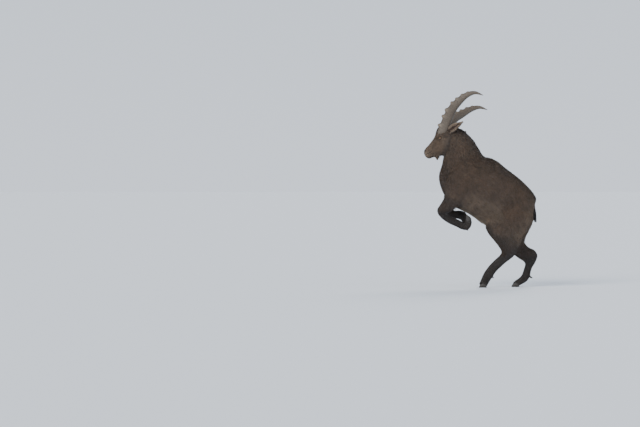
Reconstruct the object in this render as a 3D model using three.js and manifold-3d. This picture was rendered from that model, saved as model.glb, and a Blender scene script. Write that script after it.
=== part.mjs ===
// Alpine ibex billy, life size, rearing on its hind legs with its forelegs tucked up.
// Millimetres, +X the way the animal faces, +Y its left side, +Z up, floor at z = 0.

import * as THREE from 'three';
import { mergeVertices } from 'three/addons/utils/BufferGeometryUtils.js';
import Module from 'manifold-3d';

// Driving dimensions
const GAP = 0.3;
const HEAD_ROLL = THREE.MathUtils.degToRad(20.8);
const HEAD_PIVOT = { x: 450, z: 1290 };
const HEAD_ROLL_AXIS = { x: 0.905, z: -0.425 };
const EYE = { along: 0.655, round: 0.1, radius: 15, lid: 2.4, depth: 13 };
const MOUTH = { groove: 2.4, lips: 9, depth: 4.5, rim: 1.2 };
const NOSTRIL = { along: 0.155, round: 0.62, radii: [7.5, 4.5, 4] };
const HORN = { ridgeHeight: 15, ridgeReach: 0.045, sides: 10, depth: 88, width: 62 };
const RIDGES = [0.125, 0.27, 0.372, 0.495, 0.587, 0.68, 0.765];
const BROW = { x: 506, y: 34, z: 1284, radii: [46, 34, 42] };
const EAR = { length: 164, width: 66, thickness: 5.5, cup: 13 };
const HOOF = { length: 68, width: 29, height: 44, split: 4 };
const FORE_Y = { left: 88, right: -88 };
const HIND_Y = { left: 84, right: -84 };
const LOCK = { sink: 7, thickness: 7, steps: 3 };
const SEED = 7;
const FORWARD_FOOT = 0.12;
const REAR_FOOT = 1.27;

const COLOURS = {
  coat: 0x6b5a47, neck: 0x5d4d3d, head: 0x6a5846, tail: 0x2c241d, ear: 0x705e4b,
  foreleg: 0x3c3026, hindLeg: 0x43362a, horn: 0x55483a, hoof: 0x1f1b18, eye: 0x2a1a08,
};

const wasm = await Module();
wasm.setup();

const vec = (x, y, z) => new THREE.Vector3(x, y, z);
const mix = (a, b, t) => a + (b - a) * t;
const signedPower = (value, power) => Math.sign(value) * Math.abs(value) ** power;

// A solid is a closed mesh that the booleans can join and cut.
function solid(geometry, matrix = new THREE.Matrix4()) {
  const bare = geometry.clone();
  bare.deleteAttribute('normal');
  bare.deleteAttribute('uv');
  bare.applyMatrix4(matrix);
  const merged = mergeVertices(bare, 1e-4);
  const triangles = new Uint32Array(merged.index.array);
  const made = new wasm.Manifold(new wasm.Mesh({
    numProp: 3,
    vertProperties: new Float32Array(merged.attributes.position.array),
    triVerts: triangles,
  }));
  return made;
}

// Of a cut or joined solid only the largest closed body is kept.
function largest(whole) {
  const bodies = whole.decompose();
  return bodies.reduce((best, body) => (body.volume() > best.volume() ? body : best));
}

const union = (solids) => solids.reduce((whole, next) => whole.add(next));
const moved = (whole, matrix) => whole.transform(matrix.elements);

function toGeometry(whole) {
  const mesh = whole.getMesh();
  const geometry = new THREE.BufferGeometry();
  const positions = new Float32Array(mesh.numVert * 3);
  for (let i = 0; i < mesh.numVert; i += 1) {
    for (let k = 0; k < 3; k += 1) positions[3 * i + k] = mesh.vertProperties[mesh.numProp * i + k];
  }
  geometry.setAttribute('position', new THREE.BufferAttribute(positions, 3));
  geometry.setIndex(new THREE.BufferAttribute(new Uint32Array(mesh.triVerts), 1));
  return geometry;
}

// Rings of points become a closed tube with a fan over each end.
function tube(rings) {
  const sides = rings[0].length;
  const points = rings.flat();
  const faces = [];
  for (let r = 0; r < rings.length - 1; r += 1) {
    for (let s = 0; s < sides; s += 1) {
      const a = r * sides + s;
      const b = r * sides + ((s + 1) % sides);
      faces.push(a, b, a + sides, b, b + sides, a + sides);
    }
  }
  for (const [first, flip] of [[0, true], [(rings.length - 1) * sides, false]]) {
    const centre = points.length;
    const middle = vec(0, 0, 0);
    for (let s = 0; s < sides; s += 1) middle.add(points[first + s]);
    points.push(middle.divideScalar(sides));
    for (let s = 0; s < sides; s += 1) {
      const a = first + s;
      const b = first + ((s + 1) % sides);
      faces.push(...(flip ? [b, a, centre] : [a, b, centre]));
    }
  }
  const geometry = new THREE.BufferGeometry().setFromPoints(points);
  geometry.setIndex(signedVolume(points, faces) > 0 ? faces : faces.toReversed());
  return geometry;
}

function signedVolume(points, faces) {
  let total = 0;
  for (let i = 0; i < faces.length; i += 3) {
    const [a, b, c] = [points[faces[i]], points[faces[i + 1]], points[faces[i + 2]]];
    total += a.dot(b.clone().cross(c));
  }
  return total;
}

const endOf = (t) => (t === 1) - (t === 0);

// A hoop stands across a part between two points of its side outline.
const hoop = (frontX, frontZ, backX, backZ, half, y = 0) => (
  { front: vec(frontX, y, frontZ), back: vec(backX, y, backZ), half });

// A loft runs smoothly through its hoops. egg widens it toward the front points.
function loft(hoops, { rings, sides = 20, power = 0.9, egg = 0 }) {
  const fronts = new THREE.CatmullRomCurve3(hoops.map((h) => h.front), false, 'catmullrom', 0.5);
  const backs = new THREE.CatmullRomCurve3(hoops.map((h) => h.back), false, 'catmullrom', 0.5);
  const halves = new THREE.CatmullRomCurve3(hoops.map((h) => vec(h.half, 0, 0)), false, 'catmullrom', 0.5);
  const point = (t, angle, grow = 0) => {
    const front = fronts.getPoint(t);
    const back = backs.getPoint(t);
    const middle = front.clone().add(back).multiplyScalar(0.5);
    const up = front.clone().sub(middle);
    const depth = up.length();
    const rise = signedPower(Math.sin(angle), power);
    const spread = signedPower(Math.cos(angle), power) * (1 + egg * Math.sin(angle));
    up.multiplyScalar((rise * (depth + grow)) / depth);
    const along = fronts.getTangent(t).add(backs.getTangent(t)).normalize();
    middle.addScaledVector(along, grow * endOf(t));
    return middle.add(up).add(vec(0, spread * (halves.getPoint(t).x + grow), 0));
  };
  const geometry = (grow = 0) => {
    const sections = [];
    for (let r = 0; r <= rings; r += 1) {
      const section = [];
      for (let s = 0; s < sides; s += 1) section.push(point(r / rings, (s / sides) * Math.PI * 2, grow));
      sections.push(section);
    }
    return tube(sections);
  };
  return { point, body: (grow = 0) => solid(geometry(grow)) };
}

// Trunk, from the rump to the front of the chest
const trunk = loft([
  hoop(-304, 725, -268, 600, 46),
  hoop(-310, 756, -215, 545, 92),
  hoop(-286, 804, -120, 500, 118),
  hoop(-223, 877, 30, 478, 132),
  hoop(-143, 948, 128, 529, 146),
  hoop(-49, 1017, 212, 588, 156),
  hoop(34, 1081, 296, 642, 154),
  hoop(108, 1108, 376, 676, 142),
  hoop(190, 1100, 446, 742, 126),
  hoop(285, 1075, 488, 812, 104),
  hoop(385, 1030, 510, 880, 72),
  hoop(450, 1000, 520, 930, 40),
], { rings: 17, sides: 18, power: 0.88, egg: -0.1 });

// Neck, from deep in the chest to behind the cheeks
const neck = loft([
  hoop(70, 1070, 420, 810, 96),
  hoop(140, 1122, 500, 880, 102),
  hoop(172, 1166, 519, 950, 98),
  hoop(206, 1224, 498, 1020, 92),
  hoop(246, 1275, 485, 1088, 86),
  hoop(320, 1342, 484, 1136, 78),
  hoop(390, 1366, 462, 1196, 60),
  hoop(426, 1370, 456, 1238, 42),
], { rings: 12, sides: 18, power: 0.9, egg: -0.08 });

// The head leans about an axis in the mid plane, so its outline is set back upright.
function upright(x, z) {
  const lift = { x: -HEAD_ROLL_AXIS.z, z: HEAD_ROLL_AXIS.x };
  const along = (x - HEAD_PIVOT.x) * lift.x + (z - HEAD_PIVOT.z) * lift.z;
  const extra = along / Math.cos(HEAD_ROLL) - along;
  return { x: x + lift.x * extra, z: z + lift.z * extra };
}

function headHoop(frontX, frontZ, backX, backZ, half) {
  const front = upright(frontX, frontZ);
  const back = upright(backX, backZ);
  return hoop(front.x, front.z, back.x, back.z, half);
}

const headTurn = new THREE.Matrix4()
  .makeTranslation(HEAD_PIVOT.x, 0, HEAD_PIVOT.z)
  .multiply(new THREE.Matrix4().makeRotationAxis(
    vec(HEAD_ROLL_AXIS.x, 0, HEAD_ROLL_AXIS.z).normalize(), HEAD_ROLL))
  .multiply(new THREE.Matrix4().makeTranslation(-HEAD_PIVOT.x, 0, -HEAD_PIVOT.z));

const skull = loft([
  headHoop(648, 1146, 634, 1112, 16),
  headHoop(644, 1162, 612, 1096, 29),
  headHoop(633, 1181, 588, 1099, 36),
  headHoop(608, 1207, 558, 1110, 38),
  headHoop(582, 1240, 522, 1113, 42),
  headHoop(554, 1281, 482, 1122, 54),
  headHoop(540, 1330, 450, 1146, 70),
  headHoop(510, 1378, 418, 1194, 74),
  headHoop(452, 1392, 396, 1240, 62),
  headHoop(405, 1380, 380, 1290, 46),
], { rings: 19, sides: 16, power: 0.92, egg: 0.06 });

function ball(centre, radius, detail = 10) {
  const place = new THREE.Matrix4().makeTranslation(centre.x, centre.y, centre.z);
  return solid(new THREE.SphereGeometry(radius, detail, Math.round(detail * 0.6)), place);
}

// Horns sweep up and back in one wide arc, ridged across the front.
const hornPath = [
  [491, 1281, 33], [485, 1312, 38], [468, 1354, 46], [439, 1417, 72], [404, 1479, 105],
  [348, 1531, 148], [271, 1585, 176], [199, 1604, 184], [127, 1580, 183],
];

function hornGeometry(side, grow = 0) {
  const path = new THREE.CatmullRomCurve3(hornPath.map(([x, z, y]) => vec(x, side * y, z)));
  const reach = HORN.ridgeReach;
  const steps = [[0, 0], [0.06, 0]];
  RIDGES.forEach((ridge, i) => {
    const width = reach * (1 - 0.06 * i);
    const height = HORN.ridgeHeight * (1.3 - 0.15 * i);
    steps.push([ridge - width * 0.55, 0], [ridge - width * 0.15, height], [ridge + width * 0.3, height * 0.85]);
    steps.push([ridge + width * 0.9, 0]);
  });
  steps.push([0.89, 0], [0.94, 0], [0.98, 0], [1, 0]);
  return tube(steps.map(([t, bump]) => hornSection(path, t, side, grow, bump)));
}

function hornSection(path, t, side, grow, bump) {
  const along = path.getTangentAt(t);
  const centre = path.getPointAt(t).addScaledVector(along, grow * endOf(t));
  const across = vec(0, 1, 0);
  across.addScaledVector(along, -across.dot(along)).normalize();
  const front = along.clone().cross(across).normalize();
  if (front.z < 0) front.negate();
  const taper = 1 - 0.95 * t ** 2.5;
  const section = [];
  for (let s = 0; s < HORN.sides; s += 1) {
    const angle = (s / HORN.sides) * Math.PI * 2;
    const ahead = signedPower(Math.sin(angle), 0.75);
    const aside = signedPower(Math.cos(angle), 0.75);
    const swell = Math.max(0, Math.sin(angle)) * bump;
    const depth = (HORN.depth / 2) * taper + grow;
    const width = (HORN.width / 2) * taper * (1 + 0.08 * Math.sin(angle)) + grow;
    section.push(centre.clone()
      .addScaledVector(front, ahead * depth + swell)
      .addScaledVector(across, aside * (width + swell * 0.25)));
  }
  return section;
}

// Ears are leaves with a deep cup, set low behind the horns.
function earGeometry(side) {
  const root = vec(414, side * 54, 1322);
  const axis = vec(-0.82, side * 0.42, 0.34).normalize();
  const open = vec(0.45, side * 0.75, -0.3);
  open.addScaledVector(axis, -open.dot(axis)).normalize();
  const across = axis.clone().cross(open).normalize();
  const steps = 8;
  const sections = [];
  for (let i = 0; i <= steps; i += 1) sections.push(earSection(root, axis, open, across, i / steps));
  return tube(sections);
}

function earSection(root, axis, open, across, t) {
  const half = (EAR.width / 2) * (0.5 + 0.5 * Math.sin(Math.PI * Math.min(1, 0.15 + t * 0.8))) * (1 - 0.93 * t ** 3.2);
  const cup = EAR.cup * Math.sin(Math.PI * Math.min(1, 0.25 + 0.7 * t));
  const thick = EAR.thickness * (1 - 0.55 * t);
  const bend = 14 * t * t;
  const centre = root.clone().addScaledVector(axis, t * EAR.length - 22).addScaledVector(open, bend);
  const section = [];
  const around = 7;
  for (let i = 0; i < around; i += 1) {
    const u = mix(-1, 1, i / (around - 1));
    section.push(centre.clone().addScaledVector(across, u * half).addScaledVector(open, cup * u * u - thick / 2));
  }
  for (let i = 1; i < around - 1; i += 1) {
    const u = mix(1, -1, i / (around - 1));
    section.push(centre.clone().addScaledVector(across, u * (half - 1)).addScaledVector(open, cup * u * u + thick / 2));
  }
  return section;
}

// Forelegs are folded at the knee: the left foot is flexed up, the right one hangs.
const FLEXED_FOOT = [
  [492, 580, 446, 628, 25],
  [440, 546, 414, 607, 22],
  [378, 518, 354, 580, 22],
  [325, 494, 318, 560, 25],
  [276, 488, 314, 548, 26],
  [246, 522, 304, 552, 26],
  [242, 558, 300, 564, 27],
  [248, 580, 294, 582, 25],
];
const HANGING_FOOT = [
  [494, 592, 452, 648, 25],
  [446, 589, 436, 655, 23],
  [396, 584, 390, 652, 23],
  [352, 580, 336, 656, 26],
  [330, 572, 286, 638, 27],
  [318, 556, 266, 590, 26],
  [312, 532, 264, 552, 27],
  [308, 514, 267, 522, 25],
];

function foreleg(y, foot) {
  return loft([
    hoop(300, 1075, 130, 1030, 26, y),
    hoop(400, 1020, 165, 945, 40, y * 1.14),
    hoop(452, 930, 235, 850, 46, y * 1.2),
    hoop(468, 840, 300, 742, 44, y * 1.14),
    hoop(474, 768, 352, 690, 38, y * 1.04),
    hoop(498, 716, 412, 652, 32, y * 0.97),
    hoop(527, 668, 456, 622, 30, y * 0.93),
    hoop(522, 620, 456, 628, 28, y * 0.92),
    ...foot.map(([frontX, frontZ, backX, backZ, half]) => (
      hoop(frontX, frontZ, backX, backZ, half, y * 0.92))),
  ], { rings: 25, sides: 10, power: 0.95 });
}

// Hind legs: the forward one steps under the belly, the rear one props the rump.
function forwardHindLeg(y) {
  return loft([
    hoop(-60, 800, -262, 700, 34, y * 0.8),
    hoop(40, 700, -285, 610, 52, y * 1.05),
    hoop(120, 590, -262, 520, 60, y * 1.15),
    hoop(132, 502, -205, 440, 56, y * 1.1),
    hoop(78, 425, -160, 362, 46, y),
    hoop(20, 355, -134, 294, 37, y * 0.9),
    hoop(-11, 300, -106, 257, 30, y * 0.74),
    hoop(22, 260, -63, 224, 28, y * 0.6),
    hoop(66, 217, -9, 176, 25, y * 0.44),
    hoop(108, 168, 38, 128, 26, y * 0.28),
    hoop(140, 118, 64, 86, 28, y * 0.18),
    hoop(154, 84, 84, 54, 29, y * FORWARD_FOOT),
    hoop(166, 56, 96, 34, 30, y * FORWARD_FOOT),
    hoop(174, 36, 108, 14, 28, y * FORWARD_FOOT),
  ], { rings: 22, sides: 12, power: 0.92 });
}

function rearHindLeg(y) {
  return loft([
    hoop(-110, 810, -285, 715, 34, y * 0.8),
    hoop(-10, 690, -300, 620, 54, y * 1.05),
    hoop(52, 560, -287, 535, 62, y * 1.18),
    hoop(44, 450, -253, 470, 56, y * 1.16),
    hoop(-28, 372, -220, 408, 46, y * 1.12),
    hoop(-104, 290, -236, 350, 37, y * 1.1),
    hoop(-168, 240, -306, 316, 31, y * 1.1),
    hoop(-210, 218, -331, 266, 29, y * 1.12),
    hoop(-221, 190, -310, 206, 26, y * 1.16),
    hoop(-210, 150, -280, 158, 25, y * 1.2),
    hoop(-196, 106, -266, 98, 27, y * 1.24),
    hoop(-172, 76, -246, 54, 28, y * 1.26),
    hoop(-146, 60, -204, 26, 29, y * REAR_FOOT),
    hoop(-122, 40, -176, 12, 28, y * REAR_FOOT),
  ], { rings: 22, sides: 12, power: 0.92 });
}

const tailLoft = loft([
  hoop(-256, 752, -232, 690, 22),
  hoop(-284, 738, -260, 676, 26),
  hoop(-304, 682, -274, 655, 27),
  hoop(-311, 622, -276, 610, 25),
  hoop(-314, 575, -284, 568, 17),
  hoop(-314, 548, -302, 545, 6),
], { rings: 12, sides: 10, power: 1 });

// A hoof is one of a pair of digits: flat sole, blunt toe, straight front wall.
function hoofSolid(grow = 0) {
  const { length, width, height } = HOOF;
  const shape = loft([
    hoop(-length * 0.48, height * 0.5, -length * 0.48, -4, width * 0.3),
    hoop(-length * 0.3, height * 0.86, -length * 0.32, -6, width * 0.48),
    hoop(-length * 0.02, height, 0, -6, width * 0.5),
    hoop(length * 0.26, height * 0.66, length * 0.3, -6, width * 0.44),
    hoop(length * 0.44, height * 0.22, length * 0.48, -6, width * 0.26),
  ], { rings: 4, sides: 8, power: 0.8 });
  const below = new THREE.BoxGeometry(length * 2, width * 3, height);
  const under = new THREE.Matrix4().makeTranslation(0, 0, -height / 2 - grow);
  return shape.body(grow).subtract(solid(below, under));
}

function placed(x, y, z, pitch, splay) {
  return new THREE.Matrix4().makeTranslation(x, y, z)
    .multiply(new THREE.Matrix4().makeRotationZ(splay))
    .multiply(new THREE.Matrix4().makeRotationY(pitch));
}

function dewclawSolid(grow = 0) {
  return loft([
    hoop(-4, 9, -4, -9, 7),
    hoop(6, 10, 6, -8, 8),
    hoop(16, 5, 14, -8, 7),
    hoop(24, -2, 20, -9, 3),
  ], { rings: 4, sides: 6, power: 0.95 }).body(grow);
}

// Each foot carries two hooves and two dewclaws.
const FEET = {
  hind_left: { leg: 'hind_leg_left', x: 146, y: HIND_Y.left * FORWARD_FOOT, z: 0, pitch: 0, dew: [68, 96], dewPitch: 2.2 },
  hind_right: { leg: 'hind_leg_right', x: -138, y: HIND_Y.right * REAR_FOOT, z: 0, pitch: 0, dew: [-266, 88], dewPitch: 2.4 },
  fore_left: { leg: 'foreleg_left', x: 291, y: FORE_Y.left * 0.92, z: 588, pitch: -1.52, dew: [312, 536], dewPitch: -0.9 },
  fore_right: { leg: 'foreleg_right', x: 267, y: FORE_Y.right * 0.92, z: 513, pitch: 1.6,
    dew: [276, 612], dewPitch: 2.1 },
};

const legs = {
  foreleg_left: foreleg(FORE_Y.left, FLEXED_FOOT),
  foreleg_right: foreleg(FORE_Y.right, HANGING_FOOT),
  hind_leg_left: forwardHindLeg(HIND_Y.left),
  hind_leg_right: rearHindLeg(HIND_Y.right),
};

// The side outlines along which the limbs are parted from the trunk
const SHOULDER_OUTLINE = [
  [130, 1040], [230, 1085], [330, 1080], [440, 1010], [490, 900], [520, 780], [600, 680], [580, 520],
  [300, 430], [210, 470], [232, 610], [290, 668], [322, 690], [336, 735], [300, 775], [235, 860], [165, 950],
];
const THIGH_OUTLINE = [
  [-60, 815], [40, 715], [128, 600], [160, 500], [130, 400], [60, 330], [240, 180], [240, -40],
  [-360, -40], [-380, 330], [-290, 400], [-330, 560], [-330, 650], [-290, 730], [-190, 800],
];

function prism(outline, side, inner) {
  const shape = new THREE.Shape(outline.map(([x, z]) => new THREE.Vector2(x, z)));
  const wide = 600;
  const slab = new THREE.ExtrudeGeometry(shape, { depth: wide, bevelEnabled: false });
  const start = side > 0 ? inner + wide : -inner;
  const turn = new THREE.Matrix4().makeTranslation(0, start, 0).multiply(new THREE.Matrix4().makeRotationX(Math.PI / 2));
  return solid(slab, turn);
}

// A wide slab with its lower face on a tilted plane parts two nodes.
function above(x, z, angle) {
  const size = 2400;
  const lift = new THREE.Matrix4().makeTranslation(0, 0, size / 2);
  const turn = new THREE.Matrix4().makeTranslation(x, 0, z).multiply(new THREE.Matrix4().makeRotationY(angle));
  return solid(new THREE.BoxGeometry(size, size, size), turn.multiply(lift));
}

const parts = {};
const add = (name, whole, colour, roughness = 0.9) => {
  const material = new THREE.MeshStandardMaterial({ color: colour, roughness, metalness: 0 });
  const mesh = new THREE.Mesh(toGeometry(largest(whole)), material);
  mesh.name = name;
  parts[name] = mesh;
};

// A spot on a loft with the directions along it, round it and straight out of it.
function spotOn(surface, t, angle, side = 1) {
  const turn = side > 0 ? angle : Math.PI - angle;
  const step = 0.01;
  const at = surface.point(t, turn);
  const along = surface.point(Math.min(1, t + step), turn).sub(surface.point(Math.max(0, t - step), turn));
  const round = surface.point(t, turn + step).sub(surface.point(t, turn - step));
  const out = along.clone().cross(round).normalize();
  if (out.dot(at.clone().sub(surface.point(t, turn + Math.PI))) < 0) out.negate();
  return { at, along, out };
}

function eyeCentre(side) {
  const spot = spotOn(skull, EYE.along, EYE.round, side);
  return spot.at.addScaledVector(spot.out, -EYE.depth);
}

function ellipsoid(centre, radii, turnAboutY) {
  const turn = new THREE.Matrix4().makeTranslation(centre.x, centre.y, centre.z)
    .multiply(new THREE.Matrix4().makeRotationY(turnAboutY))
    .multiply(new THREE.Matrix4().makeScale(...radii));
  return solid(new THREE.SphereGeometry(1, 8, 5), turn);
}

// The mouth runs from the front of the muzzle back to its corner, in the side view.
const MOUTH_LINE = [[656, 1136], [640, 1127], [626, 1123], [608, 1129], [581, 1144]];

function mouthBand(width, endGap) {
  const line = MOUTH_LINE.map(([x, z]) => upright(x, z));
  const path = new THREE.CatmullRomCurve3(line.map((p) => vec(p.x, 0, p.z)));
  const [over, under] = [[], []];
  const steps = 6;
  for (let i = 0; i <= steps; i += 1) {
    const t = (i / steps) * (1 - endGap);
    const point = path.getPointAt(t);
    const along = path.getTangentAt(t);
    const half = (width / 2) * (i === steps ? 0.3 : 1);
    over.push(new THREE.Vector2(point.x - along.z * half, point.z + along.x * half));
    under.unshift(new THREE.Vector2(point.x + along.z * half, point.z - along.x * half));
  }
  const band = new THREE.ExtrudeGeometry(new THREE.Shape([...over, ...under]), { depth: 120, bevelEnabled: false });
  return solid(band, new THREE.Matrix4().makeTranslation(0, 60, 0)
    .multiply(new THREE.Matrix4().makeRotationX(Math.PI / 2)));
}

// The head has lips, a mouth line and nostrils, and lids round each eye.
function headSolid() {
  const brows = [1, -1].map((side) => (
    ellipsoid(vec(BROW.x, side * BROW.y, BROW.z), BROW.radii, -0.45)));
  let head = union([skull.body(), ...brows]).add(mouthBand(MOUTH.lips, 0).intersect(skull.body(MOUTH.rim)));
  head = head.subtract(mouthBand(MOUTH.groove, 0.08).subtract(skull.body(-MOUTH.depth)));
  for (const side of [1, -1]) {
    const nostril = spotOn(skull, NOSTRIL.along, NOSTRIL.round, side);
    head = head.subtract(ellipsoid(nostril.at, NOSTRIL.radii, 0.7));
    head = head.add(ball(eyeCentre(side), EYE.radius + EYE.lid, 13));
    head = head.subtract(lidOpening(side));
  }
  return head;
}

function lidOpening(side) {
  const centre = eyeCentre(side).add(vec(0.3, side * 3, 0.2));
  const almond = new THREE.Shape();
  almond.moveTo(-12.7, 0.9);
  almond.quadraticCurveTo(1, 14.4, 13.1, 0.4);
  almond.quadraticCurveTo(1, -11.3, -12.7, 0.9);
  const lens = new THREE.ExtrudeGeometry(almond, { depth: 30, bevelEnabled: false, curveSegments: 5 });
  const turn = new THREE.Matrix4().makeTranslation(centre.x, centre.y, centre.z)
    .multiply(new THREE.Matrix4().makeRotationX(side > 0 ? -Math.PI / 2 : Math.PI / 2))
    .multiply(new THREE.Matrix4().makeRotationZ(side > 0 ? 0.5 : -0.5));
  return solid(lens, turn);
}

// Random numbers that come out the same each time
function seeded(seed) {
  let state = seed;
  return () => {
    state = (state * 1664525 + 1013904223) % 4294967296;
    return state / 4294967296;
  };
}
const random = seeded(SEED);
const UP = Math.PI / 2;
const DOWN = -Math.PI / 2;
const jitter = (amount) => 1 + (random() * 2 - 1) * amount;

// A lock of hair is a flat blade along a bent path, tapered to its tip.
function lockSolid(path, outs, width) {
  const sections = path.map((centre, i) => {
    const s = i / (path.length - 1);
    const next = path[Math.min(i + 1, path.length - 1)];
    const last = path[Math.max(i - 1, 0)];
    const across = next.clone().sub(last).cross(outs[i]).normalize();
    const half = (width / 2) * Math.max(0.1, 1 - 0.35 * (1 - s) ** 2 - s ** 2.4);
    const thick = (LOCK.thickness / 2) * Math.max(0.16, 1 - s ** 2);
    return [[half, 0], [0, thick], [-half, 0], [0, -thick]].map(
      ([a, b]) => centre.clone().addScaledVector(across, a).addScaledVector(outs[i], b));
  });
  return solid(tube(sections));
}

// Locks that lie along a surface, rooted under it, with their tips lifted a little off it
function lyingLock(surface, t, angle, { length, width, lift, way, droop = 0 }) {
  const spot = spotOn(surface, t, angle);
  const speed = spot.along.length() / 0.02;
  const reach = (length * jitter(0.2)) / speed;
  const sway = (random() - 0.5) * 0.16 + droop * Math.sign(Math.cos(angle));
  const path = [];
  const outs = [];
  for (let i = 0; i <= LOCK.steps; i += 1) {
    const s = i / LOCK.steps;
    const here = spotOn(surface, Math.min(1, Math.max(0, t + way * reach * s)), angle + sway * s);
    const height = -LOCK.sink * (1 - s) ** 2 + lift * s ** 1.6;
    path.push(here.at.addScaledVector(here.out, height));
    outs.push(here.out);
  }
  return lockSolid(path, outs, width * jitter(0.15));
}

// A patch of locks in staggered rows over part of a surface
function lockPatch(surface, { rows, columns, from, to, middle, spread, ...shape }) {
  const locks = [];
  for (let r = 0; r < rows; r += 1) {
    for (let c = 0; c < columns; c += 1) {
      const t = mix(from, to, (r + 0.5 + (random() - 0.5) * 0.5) / rows);
      const share = columns > 1 ? (c + (r % 2) * 0.5) / (columns - 0.5) : 0.5;
      const angle = middle + mix(-spread, spread, share) + (random() - 0.5) * 0.08;
      locks.push(lyingLock(surface, t, angle, shape));
    }
  }
  return locks;
}

// Locks that hang free from a spot, such as those of the beard and the tail's end
function hangingLock(root, way, outward, length, width) {
  const path = [];
  const outs = [];
  for (let i = 0; i <= LOCK.steps; i += 1) {
    const s = i / LOCK.steps;
    const bent = way.clone().lerp(vec(-0.2, 0, -1), s * 0.6).normalize();
    path.push(root.clone().addScaledVector(bent, length * s - LOCK.sink * 2));
    outs.push(outward);
  }
  return lockSolid(path, outs, width);
}

// The beard is a short tuft under the chin.
function beardLocks() {
  const locks = [];
  const beard = { columns: 3, rows: 3, length: 50, width: 34 };
  for (let r = 0; r < beard.rows; r += 1) {
    for (let c = 0; c < beard.columns; c += 1) {
      const t = mix(0.385, 0.46, (r + (c % 2) * 0.4) / beard.rows);
      const side = mix(-1, 1, c / (beard.columns - 1));
      const spot = spotOn(skull, t, DOWN + side * 0.3);
      const way = vec(0.06, -side * 0.3, -1).normalize();
      const outward = vec(0.6, side * 0.8, 0).normalize();
      locks.push(hangingLock(spot.at, way, outward, beard.length * jitter(0.15), beard.width));
    }
  }
  return locks;
}

const head = moved(union([headSolid(), ...beardLocks()]), headTurn);
const coatLocks = [
  ...lockPatch(neck, { rows: 4, columns: 4, from: 0.4, to: 0.88, middle: UP, spread: 0.8,
    length: 96, width: 44, lift: 3, way: -1 }),
  ...lockPatch(neck, { rows: 3, columns: 3, from: 0.2, to: 0.55, middle: DOWN, spread: 0.5,
    length: 84, width: 42, lift: 4, way: -1 }),
  ...lockPatch(trunk, { rows: 2, columns: 3, from: 0.5, to: 0.72, middle: UP, spread: 0.28,
    length: 96, width: 46, lift: 2, way: -1 }),
  ...lockPatch(trunk, { rows: 2, columns: 3, from: 0.42, to: 0.64, middle: DOWN, spread: 0.3,
    length: 84, width: 42, lift: 4, way: -1 }),
  ...lockPatch(legs.hind_leg_left, { rows: 3, columns: 2, from: 0.18, to: 0.34, middle: DOWN, spread: 0.4,
    length: 80, width: 38, lift: 4, way: 1 }),
  ...lockPatch(legs.hind_leg_right, { rows: 3, columns: 2, from: 0.18, to: 0.34, middle: DOWN, spread: 0.4,
    length: 80, width: 38, lift: 4, way: 1 }),
];

const spine = trunk.body().add(neck.body());
const neckCut = above(330, 1110, 0.62);
const headCut = above(416, 1262, 1.17);

// The limbs are joined to the trunk in one body, then parted along their outlines.
function limbRegion(name, side) {
  if (name.startsWith('fore')) return prism(SHOULDER_OUTLINE, side, 48);
  const low = new THREE.BoxGeometry(900, 400, 700);
  const under = new THREE.Matrix4().makeTranslation(0, side * (200 + GAP / 2), 462 - 350);
  return prism(THIGH_OUTLINE, side, 24).add(solid(low, under));
}

// A foot's hooves and dewclaws, in the place and pitch of the foot.
function footMatrices(foot) {
  const spread = HOOF.width / 2 + HOOF.split / 2;
  return [1, -1].map((side) => placed(foot.x, foot.y, foot.z, foot.pitch, side * 0.06)
    .multiply(new THREE.Matrix4().makeTranslation(0, side * spread, 0)));
}

function dewMatrices(foot) {
  return [1, -1].map((side) => placed(foot.dew[0], foot.y + side * 14, foot.dew[1], foot.dewPitch, 0));
}

function addLeg(footName, foot) {
  const hooves = footMatrices(foot);
  const dews = dewMatrices(foot);
  let leg = limbs[foot.leg];
  for (const matrix of hooves) leg = leg.subtract(moved(hoofSolid(GAP), matrix));
  for (const matrix of dews) leg = leg.subtract(moved(dewclawSolid(GAP), matrix));
  add(foot.leg, leg, foot.leg.startsWith('fore') ? COLOURS.foreleg : COLOURS.hindLeg);
  ['outer', 'inner'].forEach((place, i) => {
    add(`hoof_${footName}_${place}`, moved(hoofSolid(), hooves[i]), COLOURS.hoof, 0.55);
    add(`dewclaw_${footName}_${place}`, moved(dewclawSolid(), dews[i]), COLOURS.hoof, 0.55);
  });
}

const limbBodies = Object.values(legs).map((leg) => leg.body());
const coated = union([spine, ...limbBodies, ...coatLocks]).subtract(tailLoft.body(GAP));
const whole = coated.subtract(neckCut.translate([-GAP, 0, -GAP]));
const limbs = {};
let torso = whole;
for (const name of Object.keys(legs)) {
  const side = name.endsWith('left') ? 1 : -1;
  const region = limbRegion(name, side);
  limbs[name] = whole.intersect(region);
  for (const [dx, dz] of [[GAP, 0], [-GAP, 0], [0, GAP], [0, -GAP]]) {
    torso = torso.subtract(region.translate([dx, -side * GAP, dz]));
  }
}
add('torso', torso, COLOURS.coat);
const tailLocks = lockPatch(tailLoft, { rows: 4, columns: 2, from: 0.45, to: 0.9, middle: UP, spread: 1.1,
  length: 52, width: 22, lift: 5, way: 1 });
add('tail', union([tailLoft.body(), ...tailLocks]), COLOURS.tail);
for (const [name, foot] of Object.entries(FEET)) addLeg(name, foot);

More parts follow.
